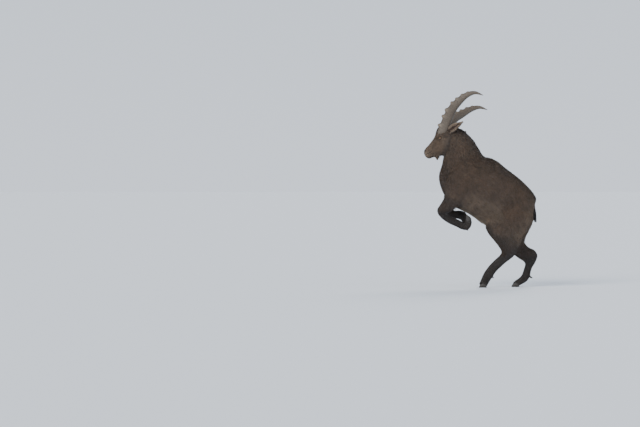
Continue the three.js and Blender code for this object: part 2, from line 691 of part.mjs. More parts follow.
const upperLine = coated.intersect(neckCut).add(head);
let headNode = upperLine.intersect(headCut);
let neckNode = upperLine.subtract(headCut.translate([-GAP, 0, -GAP]));
for (const [name, side] of [['left', 1], ['right', -1]]) {
  const horn = moved(solid(hornGeometry(side)), headTurn);
  const ear = moved(solid(earGeometry(side)), headTurn);
  const hornSocket = moved(solid(hornGeometry(side, GAP)), headTurn);
  add(`eye_${name}`, moved(ball(eyeCentre(side), EYE.radius), headTurn), COLOURS.eye, 0.1);
  add(`horn_${name}`, horn, COLOURS.horn, 0.6);
  add(`ear_${name}`, ear.subtract(moved(skull.body(GAP), headTurn)).subtract(neck.body(GAP))
    .subtract(hornSocket), COLOURS.ear);
  const eyeSocket = moved(ball(eyeCentre(side), EYE.radius + GAP), headTurn);
  headNode = headNode.subtract(hornSocket).subtract(eyeSocket);
  neckNode = neckNode.subtract(hornSocket);
}
add('neck', neckNode, COLOURS.neck);
add('head', headNode, COLOURS.head);

const root = new THREE.Group();
const meshes = Object.values(parts);
root.add(...meshes);
const box = new THREE.Box3().setFromObject(root);
root.position.set(-(box.min.x + box.max.x) / 2, -(box.min.y + box.max.y) / 2, -box.min.z);
export default root;
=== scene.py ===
import math

import bmesh
import bpy
import numpy as np
from mathutils import Matrix, Vector
from mathutils.bvhtree import BVHTree


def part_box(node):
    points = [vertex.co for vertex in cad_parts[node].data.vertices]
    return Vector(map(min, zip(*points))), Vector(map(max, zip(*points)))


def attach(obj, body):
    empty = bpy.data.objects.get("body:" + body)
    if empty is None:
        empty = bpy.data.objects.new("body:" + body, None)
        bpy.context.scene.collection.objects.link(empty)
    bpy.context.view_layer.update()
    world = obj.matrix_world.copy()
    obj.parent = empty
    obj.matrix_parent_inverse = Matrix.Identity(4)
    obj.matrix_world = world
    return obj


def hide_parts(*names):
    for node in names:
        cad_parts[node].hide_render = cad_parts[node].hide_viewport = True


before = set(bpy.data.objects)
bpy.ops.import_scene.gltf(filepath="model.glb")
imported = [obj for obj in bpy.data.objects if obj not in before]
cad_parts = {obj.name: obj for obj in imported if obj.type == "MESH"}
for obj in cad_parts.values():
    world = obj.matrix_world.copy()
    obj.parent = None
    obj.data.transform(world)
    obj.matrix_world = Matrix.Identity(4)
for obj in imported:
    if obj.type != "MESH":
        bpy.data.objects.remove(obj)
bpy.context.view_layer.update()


# Body. One hide runs from the muzzle to the tail and down to the hooves, over flesh and bone.
# It is cast in one piece over the frame's parts of flesh, drawn in by the depth of the coat,
# and modelled with the swells and hollows of the muscles beneath.
FLESH = ("torso", "neck", "head", "tail",
         "foreleg_left", "foreleg_right", "hind_leg_left", "hind_leg_right")
HOOF_MARK = (146, 10.1)
hoof_boxes = [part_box("hoof_hind_left_outer"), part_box("hoof_hind_left_inner")]
hoof_middle = sum((low + high for low, high in hoof_boxes), Vector()) / 4
body_shift = np.array([hoof_middle.x * 1000 - HOOF_MARK[0], hoof_middle.y * 1000 - HOOF_MARK[1], 0])
rng = np.random.default_rng(11)


def place(points):
    """Metres in the frame, from millimetres about a point on the floor between the hind feet."""
    return (np.asarray(points, float) + body_shift) / 1000


def unplace(points):
    """The way back from place."""
    return np.asarray(points, float) * 1000 - body_shift


# The head leans to the left about a line through the neck's top.
head_lean = np.array(Matrix.Rotation(math.radians(20.8), 3, Vector((0.905, 0, -0.425)).normalized()))
head_pivot = np.array([450.0, 0, 1290])


def lean(points):
    """Metres in the frame, from millimetres about the head held upright."""
    return place((np.asarray(points, float) - head_pivot) @ head_lean.T + head_pivot)


def unlean(points):
    """The way back from lean."""
    return (unplace(points) - head_pivot) @ head_lean + head_pivot


def welded(name, swell=0.0):
    """A copy of a frame node's mesh with its corners joined and its faces pushed out a little."""
    shape = bmesh.new()
    shape.from_mesh(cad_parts[name].data)
    bmesh.ops.remove_doubles(shape, verts=shape.verts, dist=2e-5)
    shape.normal_update()
    for corner in shape.verts:
        corner.co += corner.normal * swell
    return shape


def applied(thing):
    """The thing's mesh with its modifiers in it."""
    depsgraph = bpy.context.evaluated_depsgraph_get()
    mesh = bpy.data.meshes.new_from_object(thing.evaluated_get(depsgraph))
    thing.modifiers.clear()
    thing.data = mesh
    return mesh


def new_thing(name, mesh):
    thing = bpy.data.objects.new(name, mesh)
    bpy.context.scene.collection.objects.link(thing)
    return thing


def points_of(mesh):
    values = np.zeros(len(mesh.vertices) * 3, np.float32)
    mesh.vertices.foreach_get("co", values)
    return values.reshape(-1, 3).astype(float)


def normals_of(mesh):
    values = np.zeros(len(mesh.vertices) * 3, np.float32)
    mesh.vertex_normals.foreach_get("vector", values)
    return values.reshape(-1, 3).astype(float)


def set_points(mesh, points):
    mesh.vertices.foreach_set("co", np.asarray(points, np.float32).ravel())
    mesh.update()


def relax(mesh, rounds, pull, share=None, keep_size=True):
    """Evens the mesh out, and by default keeps its size."""
    points = points_of(mesh)
    edges = np.zeros(len(mesh.edges) * 2, np.int32)
    mesh.edges.foreach_get("vertices", edges)
    first, second = edges.reshape(-1, 2).T
    count = np.bincount(edges, minlength=len(points))
    weight = 1 if share is None else share[:, None]
    for _ in range(rounds):
        for step in (pull, -1.04 * pull) if keep_size else (pull,):
            mean = np.stack([np.bincount(first, points[second, k], len(points))
                             + np.bincount(second, points[first, k], len(points))
                             for k in range(3)], 1)
            points = points + weight * step * (mean / count[:, None] - points)
    set_points(mesh, points)


flesh = bmesh.new()
for part_name in FLESH:
    part = welded(part_name, 0.0005)
    part_mesh = bpy.data.meshes.new("part")
    part.to_mesh(part_mesh)
    flesh.from_mesh(part_mesh)
    part.free()
hide_mesh = bpy.data.meshes.new("hide")
flesh.to_mesh(hide_mesh)
flesh.free()
hide = new_thing("hide", hide_mesh)
cast = hide.modifiers.new("cast", "REMESH")
cast.mode = "VOXEL"
cast.voxel_size = 0.0085
relax(applied(hide), 14, 0.6)
cast_points = points_of(hide.data)
cast_faces = [tuple(face.vertices) for face in hide.data.polygons]
finer = hide.modifiers.new("finer", "SUBSURF")
finer.levels = finer.render_levels = 1
applied(hide)

# Each stretch of coat: the line that its hair lies along in millimetres, then the hair's length,
# the tuft's width, how much it hangs, and the colour (red, green, blue) of the stretch.
BROWN, DARK, SOOT = (0.088, 0.055, 0.034), (0.050, 0.031, 0.020), (0.022, 0.015, 0.011)
GREY, PALE, FACE = (0.120, 0.082, 0.054), (0.230, 0.178, 0.128), (0.105, 0.070, 0.045)
# The colour of the bare dark skin on nose and lips, also used as painted shade in the nostrils and the crease
# between the lips.
LEATHER_AND_SHADE = (0.018, 0.014, 0.013)
STRETCHES = []


def stretch(group, line, length, width, droop, colour, mirror=False):
    for side in ((1, -1) if mirror else (1,)):
        ends = np.array(line, float) * (1, side, 1)
        for start, end in zip(ends[:-1], ends[1:]):
            STRETCHES.append((group, start, end, length, width, droop, colour))


stretch("head", [(645, 20, 1150), (545, -5, 1285)], 7, 1.5, 0, FACE)
stretch("head", [(545, -5, 1300), (415, -18, 1372)], 17, 2.2, 0, DARK)
stretch("head", [(612, 45, 1145), (520, 68, 1200), (430, 78, 1275)], 11, 1.9, 0.1, FACE)
stretch("head", [(600, -10, 1120), (500, -48, 1160), (420, -78, 1225)], 11, 1.9, 0.1, FACE)
stretch("head", [(620, 25, 1100), (560, 20, 1105), (490, 12, 1130)], 14, 2.2, 0.3, GREY)
stretch("head", [(525, 16, 1112), (524, 17, 1060)], 46, 4.4, 1.5, SOOT)
stretch("neck", [(400, -20, 1372), (245, 0, 1268), (130, 0, 1120), (50, 0, 1095)], 50, 4.2, 0.1, DARK)
stretch("neck", [(420, 80, 1265), (330, 96, 1120), (300, 104, 960)], 38, 3.4, 0.2, BROWN)
stretch("neck", [(410, -82, 1235), (330, -96, 1100), (300, -104, 960)], 38, 3.4, 0.2, BROWN)
stretch("neck", [(482, 5, 1112), (505, 0, 1000), (520, 0, 900), (480, 0, 800)], 46, 4.0, 0.4, DARK)
stretch("fore", [(470, 25, 790), (400, 20, 700)], 46, 4.0, 0.4, DARK, True)
stretch("fore", [(230, 132, 1060), (330, 135, 900), (400, 118, 790)], 34, 3.2, 0.2, BROWN, True)
stretch("fore", [(420, 110, 760), (505, 84, 660)], 20, 2.6, 0.2, DARK, True)
stretch("fore", [(512, 82, 640), (440, 81, 580), (340, 81, 520)], 11, 1.8, 0.1, SOOT)
stretch("fore", [(300, 81, 500), (272, 81, 580)], 11, 1.8, 0, SOOT)
stretch("fore", [(512, -82, 650), (440, -81, 628), (340, -81, 622)], 11, 1.8, 0.1, SOOT)
stretch("fore", [(315, -81, 605), (286, -81, 515)], 11, 1.8, 0, SOOT)
stretch("trunk", [(50, 0, 1095), (-60, 0, 1010), (-220, 0, 880), (-300, 0, 760)], 36, 3.3, 0.05, DARK)
stretch("trunk", [(190, 140, 940), (20, 150, 840), (-130, 132, 760)], 36, 3.3, 0.25, BROWN, True)
stretch("trunk", [(260, 110, 740), (120, 130, 640), (0, 120, 590)], 38, 3.3, 0.4, GREY, True)
stretch("trunk", [(360, 0, 700), (230, 0, 600), (90, 0, 530), (-30, 0, 500)], 42, 3.6, 0.5, PALE)
stretch("hind", [(-130, 118, 800), (-90, 128, 650), (20, 122, 520)], 34, 3.2, 0.2, BROWN, True)
stretch("hind", [(-280, 45, 720), (-286, 78, 560), (-235, 92, 430)], 36, 3.4, 0.3, GREY, True)
stretch("hind", [(100, 98, 500), (30, 88, 390), (-50, 72, 300)], 22, 2.7, 0.2, DARK)
stretch("hind", [(20, -104, 440), (-100, -100, 330), (-240, -95, 280)], 22, 2.7, 0.2, DARK)
stretch("hind", [(-60, 62, 275), (20, 42, 200), (110, 18, 110), (140, 10, 45)], 11, 1.9, 0.1, SOOT)
stretch("hind", [(-270, -95, 240), (-250, -102, 130), (-190, -106, 60), (-140, -107, 35)], 11, 1.9, 0.1, SOOT)
stretch("tail", [(-262, 0, 720), (-292, 0, 660), (-300, 0, 565)], 40, 3.4, 0.2, SOOT)

GROUPS = ("head", "neck", "fore", "trunk", "hind", "tail")
line_start = np.array([s[1] for s in STRETCHES])
line_end = np.array([s[2] for s in STRETCHES])
line_group = np.array([GROUPS.index(s[0]) for s in STRETCHES])
line_values = np.array([(s[3], s[4], s[5], *s[6]) for s in STRETCHES])


def coat_at(points, normals):
    """At points of the hide: the way the hair lies, its length, width, droop, colour and group."""
    spots = unplace(points)
    span = line_end - line_start
    size = (span ** 2).sum(1)
    weights = np.zeros((len(spots), len(span)))
    for k in range(len(span)):
        along = np.clip(((spots - line_start[k]) @ span[k]) / size[k], 0, 1)
        gap = np.linalg.norm(spots - line_start[k] - along[:, None] * span[k], axis=1)
        weights[:, k] = (gap + 10) ** -4.0
    weights /= weights.sum(1)[:, None]
    way = weights @ (span / np.sqrt(size)[:, None])
    values = weights @ line_values
    way[:, 2] -= values[:, 2]
    wave = 0.17 * np.sin(spots @ (0.071, 0.052, -0.063) + 1.5 * np.sin(spots @ (0.02, -0.03, 0.027)))
    wave += 0.13 * np.sin(spots @ (-0.13, 0.09, 0.11) + 2)
    way += np.cross(normals, way) * (wave * np.clip(values[:, 0] / 30, 0.3, 1))[:, None]
    way -= (way * normals).sum(1)[:, None] * normals
    way /= np.maximum(np.linalg.norm(way, axis=1), 1e-6)[:, None]
    shares = np.stack([weights[:, line_group == g].sum(1) for g in range(len(GROUPS))], 1)
    return way, values, shares.argmax(1)


def coat_depth(length):
    """How far the coat stands off the hide: the long coat is deep and the short coat lies close."""
    return np.clip(0.27 * length * np.clip(length / 26, 0.4, 1), 0.7, 11)


def bell(points, centre, radii):
    """1 at the centre, falling softly to nothing past the radii."""
    return np.exp(-(((points - np.array(centre)) / np.array(radii)) ** 2).sum(1))


MOUTH = np.array([(660, 1136), (638, 1122.8), (623.7, 1118.2), (605.7, 1124), (578.7, 1139.2)])


def mouth_gap(upright):
    """How far each point lies from the line between the lips, in the side view."""
    best = np.full(len(upright), 1e3)
    for start, end in zip(MOUTH[:-1], MOUTH[1:]):
        run, offset = end - start, upright[:, [0, 2]] - start
        along = np.clip((offset @ run) / (run @ run), 0, 1)
        best = np.minimum(best, np.linalg.norm(offset - along[:, None] * run, axis=1))
    return best


def eye_middle(side):
    low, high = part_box(f"eye_{side}")
    return np.array((low + high) / 2)


EYES = {side: eye_middle(side) for side in ("left", "right")}


def markings_and_shade(points, normals, colours):
    """The coat's markings: a dark stripe down the back, a dark front to the face, pale lips and the nose's
    bare dark skin, with painted shade round the eyes, in the nostrils and in the crease between the lips.
    """
    spots = unplace(points)
    upright = unlean(points)
    on_head = np.clip((upright[:, 0] - 400) / 60, 0, 1) * np.clip((upright[:, 2] - 1060) / 30, 0, 1)
    tone = np.ones(len(points))
    upper = np.clip((normals[:, 2] - 0.1) / 0.4, 0, 1)
    tone *= 1 - 0.5 * upper * np.exp(-(spots[:, 1] / 22) ** 2) * (1 - on_head)
    front_of_face = np.exp(-(upright[:, 1] / 17) ** 2) * on_head
    front_of_face *= np.clip((upright[:, 2] - 1175) / 40, 0, 1)
    tone *= 1 - 0.45 * front_of_face
    # Painted shade: the coat is darkened in the hollows round the eyes.
    for side in (1, -1):
        socket = bell(upright, (499, side * 62, 1247), (30, 30, 22))
        tone *= 1 - 0.45 * socket
    broad = np.sin(spots @ (0.031, 0.017, 0.023)) + np.sin(spots @ (-0.013, 0.043, 0.037) + 2)
    broad += 1.3 * np.sin(spots @ (0.11, -0.14, 0.09) + broad) * np.sin(spots @ (-0.08, 0.05, 0.13))
    tone *= 1 + 0.07 * broad
    coloured = colours * tone[:, None]
    lips = bell(upright, (628, 0, 1122), (34, 60, 26)) * on_head
    coloured += 0.45 * lips[:, None] * (np.array(PALE) - coloured)
    leather_and_shade = np.clip(bell(upright, (650, 0, 1150), (17, 24, 20)) * 1.5, 0, 1)
    # The crease between the lips and the nostrils take the bare skin's dark: partly real dark skin, partly
    # painted shade in the crease and the holes.
    leather_and_shade = np.maximum(leather_and_shade, np.exp(-(mouth_gap(upright) / 2.6) ** 2) * (upright[:, 0] > 574) * on_head)
    for side in (1, -1):
        nostril = np.clip(1.6 * bell(upright, (636, side * 26, 1151), (11, 10, 7)), 0, 1)
        leather_and_shade = np.maximum(leather_and_shade, nostril)
    coloured += leather_and_shade[:, None] * (np.array(LEATHER_AND_SHADE) - coloured)
    return np.clip(coloured, 0.004, 1)


# Swells and hollows of muscle and bone: middle, radii and height, in millimetres.
FORMS = (
    ((330, 130, 980), (40, 40, 120), 7), ((440, 118, 860), (46, 40, 50), 8),
    ((300, 132, 850), (60, 40, 70), 7), ((380, 110, 740), (40, 40, 30), 5),
    ((240, 130, 760), (50, 50, 60), -5), ((505, 84, 655), (30, 40, 30), 3),
    ((-110, 120, 830), (50, 40, 40), 9), ((-20, 140, 700), (60, 50, 60), -6),
    ((40, 125, 590), (60, 50, 60), 8), ((-180, 110, 640), (70, 50, 90), 6),
    ((-250, 80, 600), (30, 40, 90), 4), ((350, 90, 1130), (60, 40, 60), 4),
    ((130, 110, 1060), (70, 40, 50), 5), ((60, 150, 900), (160, 60, 30), 3),
    ((20, 150, 820), (160, 60, 30), 3),
)
# The same on the head, about the head held upright.
HEAD_FORMS = (
    ((505, 50, 1268), (34, 22, 12), 5), ((470, 66, 1190), (40, 30, 40), 4),
    ((545, 42, 1200), (34, 20, 16), -4), ((535, 50, 1222), (30, 16, 8), 3),
    ((600, 30, 1160), (30, 20, 20), -2.5), ((634, 26, 1152), (16, 14, 14), 3),
    ((610, 24, 1112), (22, 22, 12), 2.5), ((560, 30, 1140), (26, 24, 22), -2),
)
# And on the legs: middle, height and radius.
LEG_FORMS = (
    ((500, 81, 640), 3, 28), ((455, 81, 590), -2.5, 30), ((322, 81, 520), 3, 26), ((500, -81, 645), 3, 28),
    ((325, -81, 612), 3, 26), ((-60, 68, 290), 3, 34), ((-10, 56, 235), -2, 34), ((80, 26, 125), 3, 26),
    ((-275, -94, 275), 3, 34), ((-262, -96, 205), -2, 34), ((-235, -104, 105), 3, 26),
)
TOES = [f"{end}_{side}_{row}" for end in ("hind", "fore") for side in ("left", "right")
        for row in ("outer", "inner")]


def modelled(mesh):
    points, normals = points_of(mesh), normals_of(mesh)
    spots, upright = unplace(points), unlean(points)
    push = np.zeros(len(points))
    for side in (1, -1):
        for middle, radii, height in FORMS:
            push += height * bell(spots, np.array(middle) * (1, side, 1), radii)
        for middle, radii, height in HEAD_FORMS:
            push += height * bell(upright, np.array(middle) * (1, side, 1), radii)
    for middle, height, radius in LEG_FORMS:
        push += height * bell(spots, middle, (radius, 60, radius))
    for toe in TOES:
        low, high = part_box(f"dewclaw_{toe}")
        push += 3.5 * bell(points, (low + high) / 2, (0.016, 0.016, 0.016))
    _, values, _ = coat_at(points, normals)
    push -= coat_depth(values[:, 0])
    set_points(mesh, points + normals * push[:, None] / 1000)


modelled(hide.data)
for limit in (470, 575):
    shape = bmesh.new()
    shape.from_mesh(hide.data)
    shape.verts.ensure_lookup_table()
    upright = unlean(np.array([corner.co for corner in shape.verts]))
    near = (upright[:, 0] > limit) & (upright[:, 2] > 1050)
    around_eyes = np.zeros(len(upright), bool)
    for middle in EYES.values():
        around_eyes |= np.linalg.norm(upright - unlean(middle), axis=1) < 34
    chosen = near | around_eyes
    edges = [edge for edge in shape.edges if all(chosen[corner.index] for corner in edge.verts)]
    bmesh.ops.subdivide_edges(shape, edges=edges, cuts=1, use_grid_fill=True)
    shape.to_mesh(hide.data)
    shape.free()
    hide.data.update()
    share = np.clip((unlean(points_of(hide.data))[:, 0] - limit + 20) / 20, 0, 1)
    relax(hide.data, 4, 0.5, share)


def face_details(mesh):
    """Nostrils, the line between the lips, the folds by the eyes, and the sockets that the eyes lie in."""
    points, normals = points_of(mesh), normals_of(mesh)
    upright = unlean(points)
    push = np.zeros(len(points))
    on_muzzle = np.clip((upright[:, 0] - 572) / 8, 0, 1)
    gap = mouth_gap(upright)
    push -= 3.6 * np.exp(-(gap / 1.9) ** 2) * on_muzzle
    push += 1.3 * np.exp(-((gap - 5.5) / 3) ** 2) * on_muzzle
    under_nose = (upright[:, 0] > 636) & (upright[:, 2] > 1126) & (upright[:, 2] < 1152)
    push -= 2.2 * np.exp(-(upright[:, 1] / 1.8) ** 2) * under_nose
    for side in (1, -1):
        tilt = (upright - np.array((635, side * 26.5, 1152))) @ np.array(
            [(0.82, 0, 0.57), (0, 1, 0), (-0.57, 0, 0.82)]).T
        curl = tilt[:, 2] + 0.05 * tilt[:, 0] ** 2 - 2
        push -= 8.5 * np.exp(-((tilt[:, 0] / 8.5) ** 2 + (tilt[:, 1] / 13) ** 2 + (curl / 3.0) ** 2) ** 2)
        push += 1.8 * np.exp(-(tilt[:, 0] / 13) ** 2 - (tilt[:, 1] / 14) ** 2 - ((curl - 6.5) / 3) ** 2)
        lid_fold = upright - np.array((503, side * 60, 1262))
        push += 2.2 * bell(lid_fold, (0, 0, 0), (22, 20, 5))
        push -= 2.4 * bell(upright, (519, side * 55, 1230), (11, 18, 4.5))
    points = points + normals * push[:, None] / 1000
    for side, middle in EYES.items():
        forward, up, out = EYE_FRAMES[side]
        local = (points - middle) @ np.stack([forward, up, out], 1) * 1000
        ring = np.sqrt((local[:, 0] / 15.0) ** 2 + (local[:, 1] / 11.2) ** 2)
        inside = np.clip((1.18 - ring) / 0.3, 0, 1) * (local[:, 2] > -16)
        drop = np.minimum(local[:, 2], 1.0) - local[:, 2]
        points += out * (inside * drop / 1000)[:, None]
    set_points(mesh, points)


def unit(vector):
    return np.asarray(vector, float) / np.linalg.norm(vector)


# The eyes look out to the sides, a little forward and up. Each frame is forward, up and out.
EYE_FRAMES = {}
for side, sign in (("left", 1), ("right", -1)):
    out = unit(np.array((0.22, sign * 1.0, 0.12)) @ head_lean.T)
    forward = np.array((0.87, 0, -0.49)) @ head_lean.T
    forward = unit(forward - out * (forward @ out))
    up = unit(np.cross(out, forward)) * sign
    EYE_FRAMES[side] = (forward, up if up[2] > 0 else -up, out)
face_details(hide.data)


def nearest(tree, points):
    found = [tree.find_nearest(Vector(p)) for p in points]
    return (np.array([f[0] for f in found]), np.array([f[1] for f in found]), np.array([f[2] for f in found]))


# The skin round the horns' feet closes in on them as a low collar.
HORN_TREES = [BVHTree.FromBMesh(welded(f"horn_{side}", 0.0055)) for side in ("left", "right")]
hide_spots = points_of(hide.data)
collar = np.zeros(len(hide_spots))
crown = np.nonzero(unlean(hide_spots)[:, 2] > 1230)[0]
for tree in HORN_TREES:
    on, _, _ = nearest(tree, hide_spots[crown])
    gap = np.linalg.norm(hide_spots[crown] - on, axis=1)
    collar[crown] = np.maximum(collar[crown], np.clip((0.022 - gap) / 0.01, 0, 1))
relax(hide.data, 45, 0.55, collar, keep_size=False)
hide_spots = points_of(hide.data)
for tree in HORN_TREES:
    on, out, _ = nearest(tree, hide_spots[crown])
    sunk = ((hide_spots[crown] - on) * out).sum(1) < -0.003
    hide_spots[crown[sunk]] -= out[sunk] * 0.008
set_points(hide.data, hide_spots)
hide.data.polygons.foreach_set("use_smooth", [True] * len(hide.data.polygons))
hide_points, hide_normals = points_of(hide.data), normals_of(hide.data)
_, hide_values, _ = coat_at(hide_points, hide_normals)
hide_colours = markings_and_shade(hide_points, hide_normals, hide_values[:, 3:6])


def paint(mesh, colours):
    """Puts a colour on each corner of the mesh, for its material to read."""
    layer = mesh.color_attributes.new("coat_colour", "FLOAT_COLOR", "POINT")
    opaque = np.concatenate([colours, np.ones((len(colours), 1))], 1)
    layer.data.foreach_set("color", opaque.astype(np.float32).ravel())


# The hide is painted at four fifths of its colour: painted shade where it shows deep between the tufts.
paint(hide.data, hide_colours * 0.8)


def maths(tree, operation, *values, clamp=False):
    """A math node, where each value is a number or a socket to link."""
    node = tree.nodes.new("ShaderNodeMath")
    node.operation, node.use_clamp = operation, clamp
    for socket, value in zip(node.inputs, values):
        if isinstance(value, (int, float)):
            socket.default_value = value
        else:
            tree.links.new(value, socket)
    return node.outputs[0]


def noise(tree, size, detail):
    """Noise over the object's own space, at the size that a socket gives."""
    node = tree.nodes.new("ShaderNodeTexNoise")
    node.inputs["Detail"].default_value = detail
    where = tree.nodes.new("ShaderNodeTexCoord")
    tree.links.new(where.outputs["Object"], node.inputs["Vector"])
    tree.links.new(size, node.inputs["Scale"])
    return node.outputs["Fac"]


def new_group(name, inputs, outputs):
    """A shader group with named sockets: its tree, and its inputs' and outputs' sockets."""
    group = bpy.data.node_groups.new(name, "ShaderNodeTree")
    for direction, sockets in (("INPUT", inputs), ("OUTPUT", outputs)):
        for socket, kind in sockets:
            group.interface.new_socket(socket, in_out=direction, socket_type=f"NodeSocket{kind}")
    return group, group.nodes.new("NodeGroupInput").outputs, group.nodes.new("NodeGroupOutput").inputs


def hair_grain():
    """A group that breaks a coat's colour into fine uneven strands."""
    group, given, made = new_group(
        "hair grain",
        (("Colour", "Color"), ("Strand size", "Float"), ("Patch size", "Float"), ("Contrast", "Float")),
        (("Colour", "Color"), ("Strands", "Float")))
    link = group.links.new
    strands, patches = noise(group, given["Strand size"], 3), noise(group, given["Patch size"], 3)
    shade = group.nodes.new("ShaderNodeMapRange")
    shade.inputs["From Min"].default_value, shade.inputs["From Max"].default_value = 0.65, 1.35
    link(maths(group, "ADD", strands, patches), shade.inputs["Value"])
    link(maths(group, "SUBTRACT", 1.0, given["Contrast"]), shade.inputs["To Min"])
    link(maths(group, "ADD", 1.0, given["Contrast"]), shade.inputs["To Max"])
    tint = group.nodes.new("ShaderNodeVectorMath")
    tint.operation = "SCALE"
    link(given["Colour"], tint.inputs[0])
    link(shade.outputs["Result"], tint.inputs["Scale"])
    link(tint.outputs["Vector"], made["Colour"])
    link(strands, made["Strands"])
    return group


HAIR_GRAIN = hair_grain()


def grained(name, tree, relief_from, bump, depth):
    """A material with colour and relief from a shader group, then its shader and the group's node."""
    material = bpy.data.materials.new(name)
    material.use_nodes = True
    nodes, link = material.node_tree.nodes, material.node_tree.links.new
    shader, grain = nodes["Principled BSDF"], nodes.new("ShaderNodeGroup")
    grain.node_tree = tree
    link(grain.outputs["Colour"], shader.inputs["Base Color"])
    relief = nodes.new("ShaderNodeBump")
    relief.inputs["Strength"].default_value, relief.inputs["Distance"].default_value = bump, depth
    link(grain.outputs[relief_from], relief.inputs["Height"])
    link(relief.outputs["Normal"], shader.inputs["Normal"])
    return material, shader, grain


def hair_material(name, contrast, roughness, bump, strand_size):
    material, shader, grain = grained(name, HAIR_GRAIN, "Strands", bump, 0.0015)
    for socket, value in (("Roughness", roughness), ("Specular IOR Level", 0.3), ("Sheen Weight", 0.12),
                          ("Sheen Roughness", 0.45)):
        shader.inputs[socket].default_value = value
    for socket, value in (("Contrast", contrast), ("Strand size", strand_size), ("Patch size", 26.0)):
        grain.inputs[socket].default_value = value
    colour = material.node_tree.nodes.new("ShaderNodeVertexColor")
    colour.layer_name = "coat_colour"
    material.node_tree.links.new(colour.outputs["Color"], grain.inputs["Colour"])
    return material


HIDE_HAIR = hair_material("short hair on hide", 0.45, 0.72, 0.6, 700.0)
COAT_HAIR = hair_material("coat hair", 0.35, 0.62, 0.3, 1200.0)
hide.data.materials.clear()
hide.data.materials.append(HIDE_HAIR)


def put(thing, slot, *nodes):
    """Sets the thing on the one body, in place of the frame's nodes that it stands for. The slot is not used.
    """
    if nodes:
        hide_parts(*nodes)
    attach(thing, "root")


put(hide, "coat_body", *FLESH)


# Coat. A winter coat of coarse guard hair, long on nape, throat and belly, close on face and shanks.
# Each tuft is a thin tapered blade of hair, rooted in the hide and laid over its neighbours
# along the lie of the coat, from head to tail and down the limbs.
def unwrapped(points, faces):
    """A flat layout of the hide's own shape: triangles and the place of each of their corners in it."""
    mesh = bpy.data.meshes.new("layout")
    mesh.from_pydata([tuple(p) for p in points], [], faces)
    layout = new_thing("layout", mesh)
    shape = bmesh.new()
    shape.from_mesh(mesh)
    bmesh.ops.triangulate(shape, faces=shape.faces)
    shape.to_mesh(mesh)
    shape.free()
    bpy.context.view_layer.objects.active = layout
    layout.select_set(True)
    bpy.ops.object.mode_set(mode="EDIT")
    bpy.ops.mesh.select_all(action="SELECT")
    bpy.ops.uv.smart_project(angle_limit=math.radians(66), island_margin=0.002)
    bpy.ops.object.mode_set(mode="OBJECT")
    corners = np.zeros(len(mesh.loops) * 2, np.float32)
    mesh.uv_layers.active.data.foreach_get("uv", corners)
    triangles = np.zeros(len(mesh.loops), np.int32)
    mesh.loops.foreach_get("vertex_index", triangles)
    bpy.data.objects.remove(layout)
    return triangles.reshape(-1, 3), corners.reshape(-1, 3, 2).astype(float)


layout_triangles, layout_corners = unwrapped(cast_points, cast_faces)
layout_tree = BVHTree.FromPolygons([Vector(p) for p in cast_points], layout_triangles.tolist())


def place_in_layout(points):
    on, _, index = nearest(layout_tree, points)
    a, b, c = (cast_points[layout_triangles[index, k]] for k in range(3))
    edge_b, edge_c, offset = b - a, c - a, on - a
    bb, bc, cc = (edge_b ** 2).sum(1), (edge_b * edge_c).sum(1), (edge_c ** 2).sum(1)
    ob, oc = (offset * edge_b).sum(1), (offset * edge_c).sum(1)
    scale = np.maximum(bb * cc - bc * bc, 1e-18)
    v = np.clip((cc * ob - bc * oc) / scale, 0, 1)
    w = np.clip((bb * oc - bc * ob) / scale, 0, 1)
    first, second, third = np.moveaxis(layout_corners[index], 1, 0)
    return first + v[:, None] * (second - first) + w[:, None] * (third - first)


hide.data.calc_loop_triangles()
hide_triangles = np.zeros(len(hide.data.loop_triangles) * 3, np.int32)
hide.data.loop_triangles.foreach_get("vertices", hide_triangles)
hide_triangles = hide_triangles.reshape(-1, 3)
hide_tree = BVHTree.FromPolygons([Vector(p) for p in hide_points], hide_triangles.tolist())


HOOF_BOXES = [tuple(np.array(corner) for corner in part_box(f"hoof_{toe}")) for toe in TOES]


def outside_horns(points):
    """False for points inside either horn."""
    free = np.ones(len(points), bool)
    near = np.nonzero(unlean(points)[:, 2] > 1240)[0]
    for tree in HORN_TREES:
        on, out, _ = nearest(tree, points[near])
        free[near] &= ((points[near] - on) * out).sum(1) > -0.0038
    return free


def roots(density, count):
    """Evenly scattered roots over the hide, closer where the density is higher."""
    a, b, c = (hide_points[hide_triangles[:, k]] for k in range(3))
    area = np.linalg.norm(np.cross(b - a, c - a), axis=1) / 2
    share = np.cumsum(area * density[hide_triangles].mean(1))
    spots = (np.arange(count) + rng.random(count)) / count * share[-1]
    index = np.minimum(np.searchsorted(share, spots), len(share) - 1)
    first, second = rng.random(count), rng.random(count)
    fold = first + second > 1
    first[fold], second[fold] = 1 - first[fold], 1 - second[fold]
    mix = np.stack([1 - first - second, first, second], 1)
    corner = hide_triangles[index]
    spot, normal = ((values[corner] * mix[..., None]).sum(1) for values in (hide_points, hide_normals))
    return spot, normal / np.linalg.norm(normal, axis=1)[:, None]


